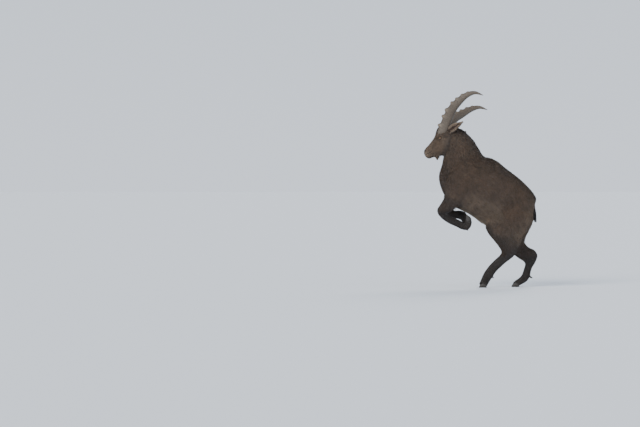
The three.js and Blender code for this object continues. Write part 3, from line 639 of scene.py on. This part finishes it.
def tuft_mesh(root, normal, way, length, width, height, free, levels):
    """Bent tapered blades: points, triangles, and how far along its blade each point lies."""
    n = len(root)
    across = np.cross(normal, way)
    sway = rng.normal(0, 0.1, n)
    centres = []
    sections = [0.0] + [(k + 1) / (levels + 0.25) for k in range(levels - 1)] + [1.0]
    for s in sections:
        straight = root + way * (length * s)[:, None] + across * (sway * length * s * s)[:, None]
        rise = height * (1 - (1 - s) ** 1.8) - 0.0012 * (1 - s)
        if s > 0:
            on, out, _ = nearest(hide_tree, straight)
            flip = np.sign((out * normal).sum(1))
            out = out * np.where(flip == 0, 1, flip)[:, None]
            laid = on + out * rise[:, None]
            sag = np.minimum(length, 0.03) * 0.25 * s * s
            hung = straight + normal * rise[:, None] - np.array((0, 0, 1)) * sag[:, None]
            centres.append(laid + (hung - laid) * free[:, None])
        else:
            centres.append(straight + normal * rise[:, None])
    points = []
    for k, s in enumerate(sections[:-1]):
        half = (width * (0.3 + 0.2 * math.sin(math.pi * (0.2 + 0.6 * s)) - 0.14 * s))[:, None]
        points += [centres[k] - across * half, centres[k] + across * half, centres[k] + normal * half * 0.55]
    points.append(centres[-1])
    points = np.stack(points, 1)
    per = points.shape[1]
    faces = [(0, 2, 1)]
    for k in range(levels - 1):
        for i in range(3):
            a, b = 3 * k + i, 3 * k + (i + 1) % 3
            faces += [(a, b, a + 3), (b, b + 3, a + 3)]
    for i in range(3):
        a, b = 3 * (levels - 1) + i, 3 * (levels - 1) + (i + 1) % 3
        faces.append((a, b, per - 1))
    faces = np.array(faces)[None] + (np.arange(n) * per)[:, None, None]
    along = np.array([s for s in sections[:-1] for _ in range(3)] + [1.0])
    return points.reshape(-1, 3), faces.reshape(-1, 3), along, per


def coat_piece(name, slot, points, faces, colours, layout):
    mesh = bpy.data.meshes.new(name)
    mesh.vertices.add(len(points))
    mesh.vertices.foreach_set("co", points.astype(np.float32).ravel())
    mesh.loops.add(len(faces) * 3)
    mesh.loops.foreach_set("vertex_index", faces.astype(np.int32).ravel())
    mesh.polygons.add(len(faces))
    mesh.polygons.foreach_set("loop_start", np.arange(len(faces), dtype=np.int32) * 3)
    mesh.polygons.foreach_set("use_smooth", np.ones(len(faces), bool))
    mesh.update()
    mesh.validate()
    map_layer = mesh.uv_layers.new(name="OFBake")
    order = np.zeros(len(mesh.loops), np.int32)
    mesh.loops.foreach_get("vertex_index", order)
    map_layer.data.foreach_set("uv", layout[order].astype(np.float32).ravel())
    paint(mesh, colours)
    mesh.materials.append(COAT_HAIR)
    put(new_thing(name, mesh), slot)


SLOTS = {"head": "coat_head", "neck": "coat_neck", "fore": "coat_leg", "trunk": "coat_body",
         "hind": "coat_leg", "tail": "coat_dark"}
MOST_TRIANGLES = 190000
PATCH, EYE_CLEAR, HOOF_FRINGE = 0.0026, 0.0185, 0.011


def grow(label, density, count, levels, scale, free_share, height_share):
    """Tufts over the hide in pieces, one set for each part of the body."""
    root, normal = roots(density, count)
    way, values, group = coat_at(root, normal)
    clear = np.ones(len(root), bool)
    for middle in EYES.values():
        clear &= np.linalg.norm(root - middle, axis=1) > EYE_CLEAR
    upright = unlean(root)
    clear &= bell(upright, (634, 0, 1152), (15, 200, 15)) * (np.abs(upright[:, 1]) > 18) < 0.6
    lips = 2.6 + 3 * np.clip((upright[:, 0] - 600) / 20, 0, 1)
    clear &= (mouth_gap(upright) > lips) | (upright[:, 0] < 574)
    clear &= bell(upright, (652, 0, 1146), (16, 22, 16)) < 0.35
    root, normal, way, values, group = (v[clear] for v in (root, normal, way, values, group))
    n = len(root)
    swing = rng.normal(0, 0.14, n)
    across = np.cross(normal, way)
    way = way * np.cos(swing)[:, None] + across * np.sin(swing)[:, None]
    length = values[:, 0] * scale * rng.uniform(0.75, 1.2, n) / 1000
    width = values[:, 1] * scale ** 0.5 * rng.uniform(0.8, 1.25, n) / 1000
    height = coat_depth(values[:, 0]) * height_share * rng.uniform(0.7, 1.12, n) / 1000
    far_end = root + way * length[:, None] * 0.7 + normal * height[:, None]
    clear = outside_horns(root) & outside_horns(far_end)
    root, normal, way, values, group = (v[clear] for v in (root, normal, way, values, group))
    length, width, height = length[clear], width[clear], height[clear]
    n = len(root)
    free = np.clip((values[:, 2] - 0.62) / 0.5, 0, 1) * free_share
    fringe = np.zeros(n, bool)
    for low, high in HOOF_BOXES:
        gap = np.linalg.norm(np.maximum(np.maximum(low - root, root - high), 0), axis=1)
        fringe |= gap < HOOF_FRINGE
    length, width = np.where(fringe, length * 1.7, length), np.where(fringe, width * 1.2, width)
    free = np.where(fringe, 0.8, free)
    points, faces, along, per = tuft_mesh(root, normal, way, length, width, height, free, levels)
    base = markings_and_shade(root, normal, values[:, 3:6]) * rng.normal(1, 0.13, n).clip(0.6, 1.5)[:, None]
    # Painted shade: each tuft is darker at its root, down among its neighbours, and lighter towards its tip.
    shade = 0.55 + 0.6 * along
    colours = base[:, None, :] * shade[None, :, None]
    across_patch = np.append(np.tile((-1.0, 1.0, 0.0), levels), 0.0)
    spot = np.stack([across_patch, along * 2 - 1], 1) * PATCH / 2
    layout = np.clip(place_in_layout(root), 0.0015, 0.9985)[:, None, :] + spot[None]
    points = points.reshape(n, per, 3)
    most = MOST_TRIANGLES // (len(faces) // n)
    for g, group_name in enumerate(GROUPS):
        members = np.nonzero(group == g)[0]
        for number, start in enumerate(range(0, len(members), most)):
            chosen = members[start:start + most]
            blade = faces[:len(faces) // n].reshape(-1, 3)
            blades = (blade[None] + (np.arange(len(chosen)) * per)[:, None, None]).reshape(-1, 3)
            coat_piece(f"coat_{group_name}_{label}_{number + 1}", SLOTS[group_name],
                       points[chosen].reshape(-1, 3), blades, colours[chosen].reshape(-1, 3),
                       layout[chosen].reshape(-1, 2))


amount = 1.0
fineness = 1 / (hide_values[:, 0] * hide_values[:, 1])
shorter = np.clip((25 - hide_values[:, 0]) / 7, 0, 1)
longer = np.clip((hide_values[:, 0] - 28) / 10, 0, 1)
grow("short", fineness * shorter, int(112000 * amount), 1, 0.95, 0, 1.0)
grow("under", fineness * (1 - 0.9 * shorter), int(52000 * amount), 2, 0.9, 0.2, 0.74)
grow("guard", fineness * (0.12 + 0.88 * longer), int(25000 * amount), 3, 1.25, 1.0, 1.08)


# Eyes. Amber eyeballs with a level slot of a pupil under a clear cornea, sunk between dark lids.
# The ball is turned with the iris laid in its front, and the lids are folds of bare dark skin
# drawn over it, thicker above.
def tube(name, points, rows, columns, capped=False):
    """A smooth mesh of rings, and with caps one that is closed and turned outward."""
    faces = []
    for r in range(rows - 1):
        for c in range(columns):
            d = (c + 1) % columns
            faces.append((r * columns + c, r * columns + d, (r + 1) * columns + d, (r + 1) * columns + c))
    if capped:
        faces += [tuple(range(columns - 1, -1, -1)), tuple(range((rows - 1) * columns, rows * columns))]
    mesh = bpy.data.meshes.new(name)
    mesh.from_pydata([tuple(p) for p in points], [], faces)
    mesh.polygons.foreach_set("use_smooth", [True] * len(mesh.polygons))
    if capped:
        shape = bmesh.new()
        shape.from_mesh(mesh)
        bmesh.ops.recalc_face_normals(shape, faces=shape.faces)
        shape.to_mesh(mesh)
        shape.free()
    return mesh


EYEBALL_RADIUS, SLOT_WIDE, SLOT_HIGH = 0.0149, 0.42, 0.17
AMBER, PUPIL = np.array((0.26, 0.115, 0.024)), np.array((0.012, 0.008, 0.006))


def eyeball(side):
    forward, up, out = EYE_FRAMES[side]
    rows, columns = 84, 120
    points, colours = [], []
    for r in range(rows):
        polar = math.pi * (r / (rows - 1)) ** 1.5
        for c in range(columns):
            turn = 2 * math.pi * c / columns
            x, y = math.sin(polar) * math.cos(turn), math.sin(polar) * math.sin(turn)
            bulge = 1 + 0.07 * math.exp(-(polar / 0.55) ** 2)
            way_out = forward * x + up * y + out * math.cos(polar)
            points.append(EYES[side] + EYEBALL_RADIUS * bulge * way_out)
            slot = ((x / SLOT_WIDE) ** 4 + (y / SLOT_HIGH) ** 4) ** 0.25
            iris = math.hypot(x, y) / 0.7 if polar < 1.4 else 2
            streak = 0.85 + 0.2 * math.sin(turn * 23) * math.sin(turn * 9 + 1)
            amber = AMBER * streak * max(0.2, 1.15 - 0.6 * iris)
            bright = min(1, max(0, (slot - 0.94) / 0.12)) * min(1, max(0, (1.02 - iris) / 0.1))
            colours.append(PUPIL + bright * (amber - PUPIL))
    mesh = tube(f"eyeball_{side}", points, rows, columns)
    paint(mesh, np.array(colours))
    mesh.materials.append(EYE_GLASS)
    put(new_thing(f"eyeball_{side}", mesh), "eye", f"eye_{side}")


def lids(side):
    forward, up, out = EYE_FRAMES[side]
    columns = 48
    rings = ((0.99, 14.6), (1.0, 16.1), (1.07, 16.7), (1.22, 16.9), (1.45, 16.8), (1.75, 16.5), (2.1, 15.8))
    points = []
    for reach, radius in rings:
        for c in range(columns):
            turn = 2 * math.pi * c / columns
            x = 12.8 * math.cos(turn) * (0.45 + 0.55 * reach)
            y = (8.4 if math.sin(turn) > 0 else 6.6) * math.sin(turn) * abs(math.sin(turn)) ** 0.35 * reach
            y += 0.07 * x
            depth = math.sqrt(max(radius ** 2 - min(x * x + y * y, radius ** 2), 0.5))
            points.append(EYES[side] + (forward * x + up * y + out * depth) / 1000)
    mesh = tube(f"lids_{side}", points, len(rings), columns)
    paint(mesh, np.tile(np.array((0.020, 0.015, 0.012)), (len(points), 1)))
    folds = new_thing(f"lids_{side}", mesh)
    finer = folds.modifiers.new("finer", "SUBSURF")
    finer.levels = finer.render_levels = 1
    applied(folds)
    folds.data.materials.clear()
    folds.data.materials.append(BARE_SKIN)
    put(folds, "coat_head")


EYE_GLASS = bpy.data.materials.new("eye")
EYE_GLASS.use_nodes = True
eye_shader = EYE_GLASS.node_tree.nodes["Principled BSDF"]
eye_colour = EYE_GLASS.node_tree.nodes.new("ShaderNodeVertexColor")
eye_colour.layer_name = "coat_colour"
EYE_GLASS.node_tree.links.new(eye_colour.outputs["Color"], eye_shader.inputs["Base Color"])
eye_shader.inputs["Roughness"].default_value = 0.12
eye_shader.inputs["Coat Weight"].default_value = 1.0
eye_shader.inputs["Coat Roughness"].default_value = 0.03
BARE_SKIN = hair_material("bare skin", 0.3, 0.42, 0.35, 1600.0)
for side in ("left", "right"):
    eyeball(side)
    lids(side)


# Ears. Thin leaves of gristle with a deep cup, haired short outside and long and pale inside.
# Each is laid up over the frame's ear from root to tip, and its root sits in the coat of the head.
CUP_EDGE, CUP_SKIN = np.array((0.20, 0.15, 0.11)), np.array((0.10, 0.065, 0.05))


def unit_rows(vectors):
    return vectors / np.maximum(np.linalg.norm(vectors, axis=1), 1e-9)[:, None]


def ear(side, sign):
    root = np.array((414, sign * 54, 1322.0))
    axis = unit((-0.82, sign * 0.42, 0.34))
    opening = np.array((0.45, sign * 0.75, -0.3))
    opening = unit(opening - axis * (opening @ axis))
    across = np.cross(axis, opening)
    rows, half_row = 36, 15
    points, colours = [], []
    for r in range(rows):
        t = r / (rows - 1)
        half = 33 * (0.5 + 0.5 * math.sin(math.pi * min(1, 0.15 + t * 0.8))) * (1 - 0.93 * t ** 3.2)
        cup = 13 * math.sin(math.pi * min(1, 0.25 + 0.7 * t))
        thick = 4.4 * (1 - 0.6 * t)
        centre = root + axis * (t * 162 - 22) + opening * 14 * t * t
        for layer in (-1, 1):
            for i in range(half_row):
                u = (-1 + 2 * i / (half_row - 1)) * -layer
                edge = half - (0.8 if layer > 0 else 0)
                wave = 1.2 * math.sin(9 * t + 2 * u)
                ridge = 1.5 * math.cos(u * 9) * (layer > 0) * (1 - t)
                rise = cup * u * u + layer * thick / 2 + wave * u * u + ridge
                points.append(centre + across * u * edge + opening * rise)
                inner = CUP_EDGE if abs(u) > 0.55 else CUP_SKIN
                colours.append(inner if layer > 0 else np.array(FACE) * (0.9 - 0.35 * t))
    points = lean(np.array(points))
    mesh = tube(f"ear_leaf_{side}", points, rows, 2 * half_row, capped=True)
    paint(mesh, np.array(colours))
    mesh.materials.append(HIDE_HAIR)
    put(new_thing(f"ear_leaf_{side}", mesh), "coat_head", f"ear_{side}")
    ear_hair(side, points, np.array(colours), rows, half_row, unit(opening @ head_lean.T))


def ear_hair(side, points, colours, rows, half_row, opening):
    """Short hair over the back of the ear, and longer pale hair along the edges of its cup."""
    grid = points.reshape(rows, 2 * half_row, 3)
    shades = colours.reshape(rows, 2 * half_row, 3)
    count = int(2600 * amount)
    r = rng.integers(3, rows - 2, count)
    i = rng.integers(0, 2 * half_row - 1, count)
    fx = rng.random(count)[:, None]
    root = grid[r, i] * (1 - fx) + grid[r, i + 1] * fx
    inside = i >= half_row
    along = unit_rows(grid[r + 1, i] - grid[r - 1, i])
    round_ = unit_rows(grid[r, (i + 1)] - grid[r, i])
    out = unit_rows(np.cross(along, round_))
    facing = np.where(inside, 1.0, -1.0)
    out *= np.sign((out @ opening) * facing)[:, None]
    long_hair = inside & ((i - half_row < 4) | (i - half_row > half_row - 6))
    length = np.where(long_hair, 0.022, 0.010) * rng.uniform(0.7, 1.2, count)
    height = np.where(long_hair, 0.007, 0.0022)
    way = unit_rows(along + out * 0.1 + rng.normal(0, 0.12, (count, 3)))
    across = np.cross(out, way)
    width = (np.where(long_hair, 0.0018, 0.0017) * rng.uniform(0.8, 1.2, count))[:, None]
    middle = root + way * (length * 0.5)[:, None] + out * (height * 0.8)[:, None]
    tip = root + way * length[:, None] + out * height[:, None]
    start = root - out * 0.0006
    edge, ridge = across * width / 2, out * width * 0.3
    blades = np.stack([start - edge, start + edge, start + ridge,
                       middle - edge, middle + edge, middle + ridge, tip], 1)
    blade = np.array([(0, 2, 1), (0, 1, 3), (1, 4, 3), (1, 2, 4), (2, 5, 4), (2, 0, 5), (0, 3, 5),
                      (3, 4, 6), (4, 5, 6), (5, 3, 6)])
    faces = (blade[None] + (np.arange(count) * 7)[:, None, None]).reshape(-1, 3)
    # Painted shade: each tuft is darker at its root, among its neighbours, and lighter towards its tip.
    shade = np.array((0.6, 0.6, 0.6, 0.95, 0.95, 0.95, 1.15))
    tones = shades[r, i] * rng.normal(1, 0.12, count).clip(0.6, 1.4)[:, None]
    tones[long_hair] *= 1.35
    place_u = (r + 0.5) / rows
    place_v = (i + fx[:, 0]) / (2 * half_row)
    spot = np.array([(-1, -1), (1, -1), (0, -1), (-1, 0), (1, 0), (0, 0), (0, 1)]) * PATCH / 2
    layout = np.stack([place_u, place_v], 1)[:, None] + spot[None]
    coat_piece(f"coat_ear_{side}", "coat_head", blades.reshape(-1, 3), faces,
               (tones[:, None] * shade[None, :, None]).reshape(-1, 3), layout.reshape(-1, 2))


ear("left", 1)
ear("right", -1)


# Horns. Two long horns of keratin sweep up and back, with heavy knobs across the front.
# Each grows ring by ring over a bony core: fine yearly rings, flattened sides, a worn smooth tip.
HORN_PATH = np.array([(491, 33, 1281), (485, 38, 1312), (468, 46, 1354), (439, 72, 1417), (404, 105, 1479),
                      (348, 148, 1531), (271, 176, 1585), (199, 184, 1604), (127, 183, 1580)], float)
# The knobs' places and width are shares of the horn's length. The other sizes are in millimetres.
KNOBS = (0.125, 0.27, 0.372, 0.495, 0.587, 0.68, 0.765)
KNOB_WIDTH, KNOB_RISE, HORN_DEPTH, HORN_WIDTH = 0.045, 15, 43.2, 30.2


def smooth_line(knots, count):
    """Even steps along a smooth curve through the knots."""
    ends = np.concatenate([[2 * knots[0] - knots[1]], knots, [2 * knots[-1] - knots[-2]]])
    line = []
    for k in range(1, len(ends) - 2):
        p0, p1, p2, p3 = ends[k - 1:k + 3]
        t1 = np.linalg.norm(p1 - p0) ** 0.5
        t2 = t1 + np.linalg.norm(p2 - p1) ** 0.5
        t3 = t2 + np.linalg.norm(p3 - p2) ** 0.5
        for t in np.linspace(t1, t2, 40, endpoint=False):
            a1 = (t1 - t) / t1 * p0 + t / t1 * p1
            a2 = ((t2 - t) * p1 + (t - t1) * p2) / (t2 - t1)
            a3 = ((t3 - t) * p2 + (t - t2) * p3) / (t3 - t2)
            b1, b2 = ((t2 - t) * a1 + t * a2) / t2, ((t3 - t) * a2 + (t - t1) * a3) / (t3 - t1)
            line.append(((t2 - t) * b1 + (t - t1) * b2) / (t2 - t1))
    line = np.array(line + [knots[-1]])
    run = np.concatenate([[0], np.cumsum(np.linalg.norm(np.diff(line, axis=0), axis=1))])
    at = np.linspace(0, run[-1], count)
    return np.stack([np.interp(at, run, line[:, k]) for k in range(3)], 1)


def horn(side, sign):
    rows, columns = 300, 44
    centres = smooth_line(HORN_PATH * (1, sign, 1), rows)
    tangents = unit_rows(np.gradient(centres, axis=0))
    points, heights, runs = [], [], []
    for r in range(rows):
        t = r / (rows - 1)
        across = unit(np.array((0, 1.0, 0)) - tangents[r] * tangents[r][1])
        front = np.cross(tangents[r], across)
        front = unit(front if front[2] > 0 else -front)
        taper = 1 - 0.95 * t ** 2.5
        knob = 0
        for number, at in enumerate(KNOBS):
            width = KNOB_WIDTH * (1 - 0.06 * number)
            rise = KNOB_RISE * (1.3 - 0.15 * number)
            offset = (t - at - 0.1 * width) / width
            knob += rise * math.exp(-abs(offset * (1.9 if offset < 0 else 1.5)) ** 2.6)
        ring = 0.16 * math.sin(t * 520 + 3 * math.sin(t * 37))
        ring += 0.5 * math.sin(t * 173 + 2 * math.sin(t * 23))
        for c in range(columns):
            angle = 2 * math.pi * c / columns
            ahead = math.copysign(abs(math.sin(angle)) ** 0.75, math.sin(angle))
            aside = math.copysign(abs(math.cos(angle)) ** 0.75, math.cos(angle))
            face = max(0, math.sin(angle)) ** 0.8
            depth = HORN_DEPTH * taper
            wide = HORN_WIDTH * taper * (1 + 0.08 * math.sin(angle))
            uneven = ring * (0.5 + 0.5 * face) * min(1, taper * 1.4) * (1 - max(0, t - 0.8) * 4)
            lump = 1 + 0.06 * math.sin(3 * angle + 9 * t)
            swell = knob * face * lump
            edge = depth * ahead + swell + uneven * ahead
            out = aside * (wide + swell * 0.3 + uneven)
            points.append(centres[r] + front * edge + across * out)
            heights.append(np.clip(swell / 14, 0, 1) if face > 0 else 0)
            runs.append(t)
    mesh = tube(f"horn_sheath_{side}", lean(np.array(points)), rows, columns, capped=True)
    grain_at(mesh, runs, heights)
    mesh.materials.append(KERATIN)
    put(new_thing(f"horn_sheath_{side}", mesh), "horn", f"horn_{side}")


def grain_at(mesh, runs, heights):
    """How far along its growth, and how worn, the horn is at each point, for its material to read."""
    for name, values in (("knob", heights), ("run", runs)):
        layer = mesh.attributes.new(name, "FLOAT", "POINT")
        layer.data.foreach_set("value", np.array(values, np.float32))


def keratin_grain():
    """A group that gives worn horn: rings along its growth, paler worn edges and dark grooves."""
    group, given, made = new_group(
        "keratin grain",
        (("Dark", "Color"), ("Light", "Color"), ("Ring place", "Float"), ("Worn", "Float"),
         ("Fine size", "Float")),
        (("Colour", "Color"), ("Relief", "Float"), ("Roughness", "Float")))
    link = group.links.new
    fine = noise(group, given["Fine size"], 5)
    rings = maths(group, "MULTIPLY", given["Ring place"], 620)
    wave = maths(group, "SINE", maths(group, "MULTIPLY_ADD", fine, 9, rings))
    relief = maths(group, "MULTIPLY_ADD", wave, 0.16, fine)
    partly = maths(group, "MULTIPLY", relief, 0.62)
    shade = maths(group, "MULTIPLY_ADD", given["Worn"], 0.55, partly, clamp=True)
    mix = group.nodes.new("ShaderNodeMix")
    mix.data_type = "RGBA"
    link(shade, mix.inputs["Factor"])
    link(given["Dark"], mix.inputs["A"])
    link(given["Light"], mix.inputs["B"])
    link(mix.outputs["Result"], made["Colour"])
    link(relief, made["Relief"])
    rough = group.nodes.new("ShaderNodeMapRange")
    rough.inputs["To Min"].default_value, rough.inputs["To Max"].default_value = 0.66, 0.42
    link(shade, rough.inputs["Value"])
    link(rough.outputs["Result"], made["Roughness"])
    return group


KERATIN_GRAIN = keratin_grain()


def keratin_material(name, dark, light, fine_size, bump):
    material, shader, grain = grained(name, KERATIN_GRAIN, "Relief", bump, 0.0012)
    nodes, link = material.node_tree.nodes, material.node_tree.links.new
    grain.inputs["Dark"].default_value = (*dark, 1)
    grain.inputs["Light"].default_value = (*light, 1)
    grain.inputs["Fine size"].default_value = fine_size
    for attribute, socket in (("run", "Ring place"), ("knob", "Worn")):
        value = nodes.new("ShaderNodeAttribute")
        value.attribute_name = attribute
        link(value.outputs["Fac"], grain.inputs[socket])
    link(grain.outputs["Roughness"], shader.inputs["Roughness"])
    return material


KERATIN = keratin_material("horn", (0.032, 0.024, 0.018), (0.165, 0.125, 0.086), 110.0, 0.55)
horn("left", 1)
horn("right", -1)


# Hooves. Eight cloven hooves and eight dewclaws of hard dark horn, with flat worn soles.
# Each is cast over the frame's own hoof, its corners rounded by wear, and the hind hooves' soles are kept
# flat.
HOOF_HORN = keratin_material("hoof", (0.012, 0.010, 0.009), (0.055, 0.045, 0.036), 160.0, 0.4)
for node_name in [f"{kind}_{toe}" for kind in ("hoof", "dewclaw") for toe in TOES]:
    shape = welded(node_name)
    mesh = bpy.data.meshes.new(f"{node_name}_horn")
    shape.to_mesh(mesh)
    shape.free()
    wall = new_thing(f"{node_name}_horn", mesh)
    cast = wall.modifiers.new("cast", "REMESH")
    cast.mode = "VOXEL"
    cast.voxel_size = 0.0021 if node_name.startswith("hoof") else 0.0016
    relax(applied(wall), 16, 0.6)
    mesh = wall.data
    points = points_of(mesh)
    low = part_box(node_name)[0].z
    if "hind" in node_name and node_name.startswith("hoof"):
        points[:, 2] = np.where(points[:, 2] < low + 0.0022, low, points[:, 2])
    set_points(mesh, points)
    steps = (points[:, 2] - points[:, 2].min()) * 2.2
    grain_at(mesh, steps, np.zeros(len(points)))
    mesh.polygons.foreach_set("use_smooth", [True] * len(mesh.polygons))
    mesh.materials.clear()
    mesh.materials.append(HOOF_HORN)
    put(wall, "hoof", node_name)


# Floor, light and camera. A plain pale studio floor under broad soft lamps, seen from far off
# with a long lens, from the animal's left side.
floor_mesh = bpy.data.meshes.new("floor")
FLOOR_RADIUS, FLOOR_SIDES = 60, 96
turns = np.linspace(0, 2 * math.pi, FLOOR_SIDES, False)
floor_mesh.from_pydata([(math.cos(a) * FLOOR_RADIUS, math.sin(a) * FLOOR_RADIUS, 0) for a in turns], [],
                       [tuple(range(FLOOR_SIDES))])
floor = new_thing("floor", floor_mesh)
floor_paint = bpy.data.materials.new("floor")
floor_paint.use_nodes = True
floor_shader = floor_paint.node_tree.nodes["Principled BSDF"]
floor_shader.inputs["Base Color"].default_value = (0.72, 0.75, 0.79, 1)
floor_shader.inputs["Roughness"].default_value = 0.9
floor_mesh.materials.append(floor_paint)

world = bpy.data.worlds.new("studio")
bpy.context.scene.world = world
world.use_nodes = True
sky = world.node_tree
sky.nodes["Background"].inputs["Strength"].default_value = 1.2
way_up, height_up = sky.nodes.new("ShaderNodeTexCoord"), sky.nodes.new("ShaderNodeSeparateXYZ")
ramp = sky.nodes.new("ShaderNodeValToRGB")
ramp.color_ramp.elements[0].position, ramp.color_ramp.elements[0].color = 0.0, (0.81, 0.88, 0.99, 1)
ramp.color_ramp.elements[1].position, ramp.color_ramp.elements[1].color = 0.6, (0.37, 0.44, 0.54, 1)
sky.links.new(way_up.outputs["Generated"], height_up.inputs["Vector"])
sky.links.new(height_up.outputs["Z"], ramp.inputs["Fac"])
sky.links.new(ramp.outputs["Color"], sky.nodes["Background"].inputs["Color"])


def lamp(name, spot, wide, power, colour):
    light = bpy.data.lights.new(name, "SUN")
    light.angle, light.energy, light.color = math.radians(wide), power, colour
    thing = bpy.data.objects.new(name, light)
    bpy.context.scene.collection.objects.link(thing)
    thing.location = spot
    thing.rotation_euler = (-Vector(spot)).to_track_quat("-Z", "Y").to_euler()


lamp("key", (5.5, 8.0, 6.0), 32, 3.1, (1, 0.96, 0.9))
lamp("fill", (-8.5, 6.5, 3.5), 60, 0.6, (0.9, 0.95, 1))
lamp("rim", (-3.0, -8.5, 6.0), 32, 1.5, (1, 1, 1))

camera_data = bpy.data.cameras.new("camera")
camera = bpy.data.objects.new("camera", camera_data)
bpy.context.scene.collection.objects.link(camera)
bpy.context.scene.camera = camera
VIEW_WIDTH, away, elevation = 5.44, 25.0, math.radians(1.2)
camera_data.lens = 36 * away / VIEW_WIDTH
camera_data.clip_end = 200
view_middle = Vector(place((1530, 0, 629)))
camera.location = view_middle + Vector((0, math.cos(elevation), math.sin(elevation))) * away
camera.rotation_euler = (math.pi / 2 - elevation, 0, math.pi)
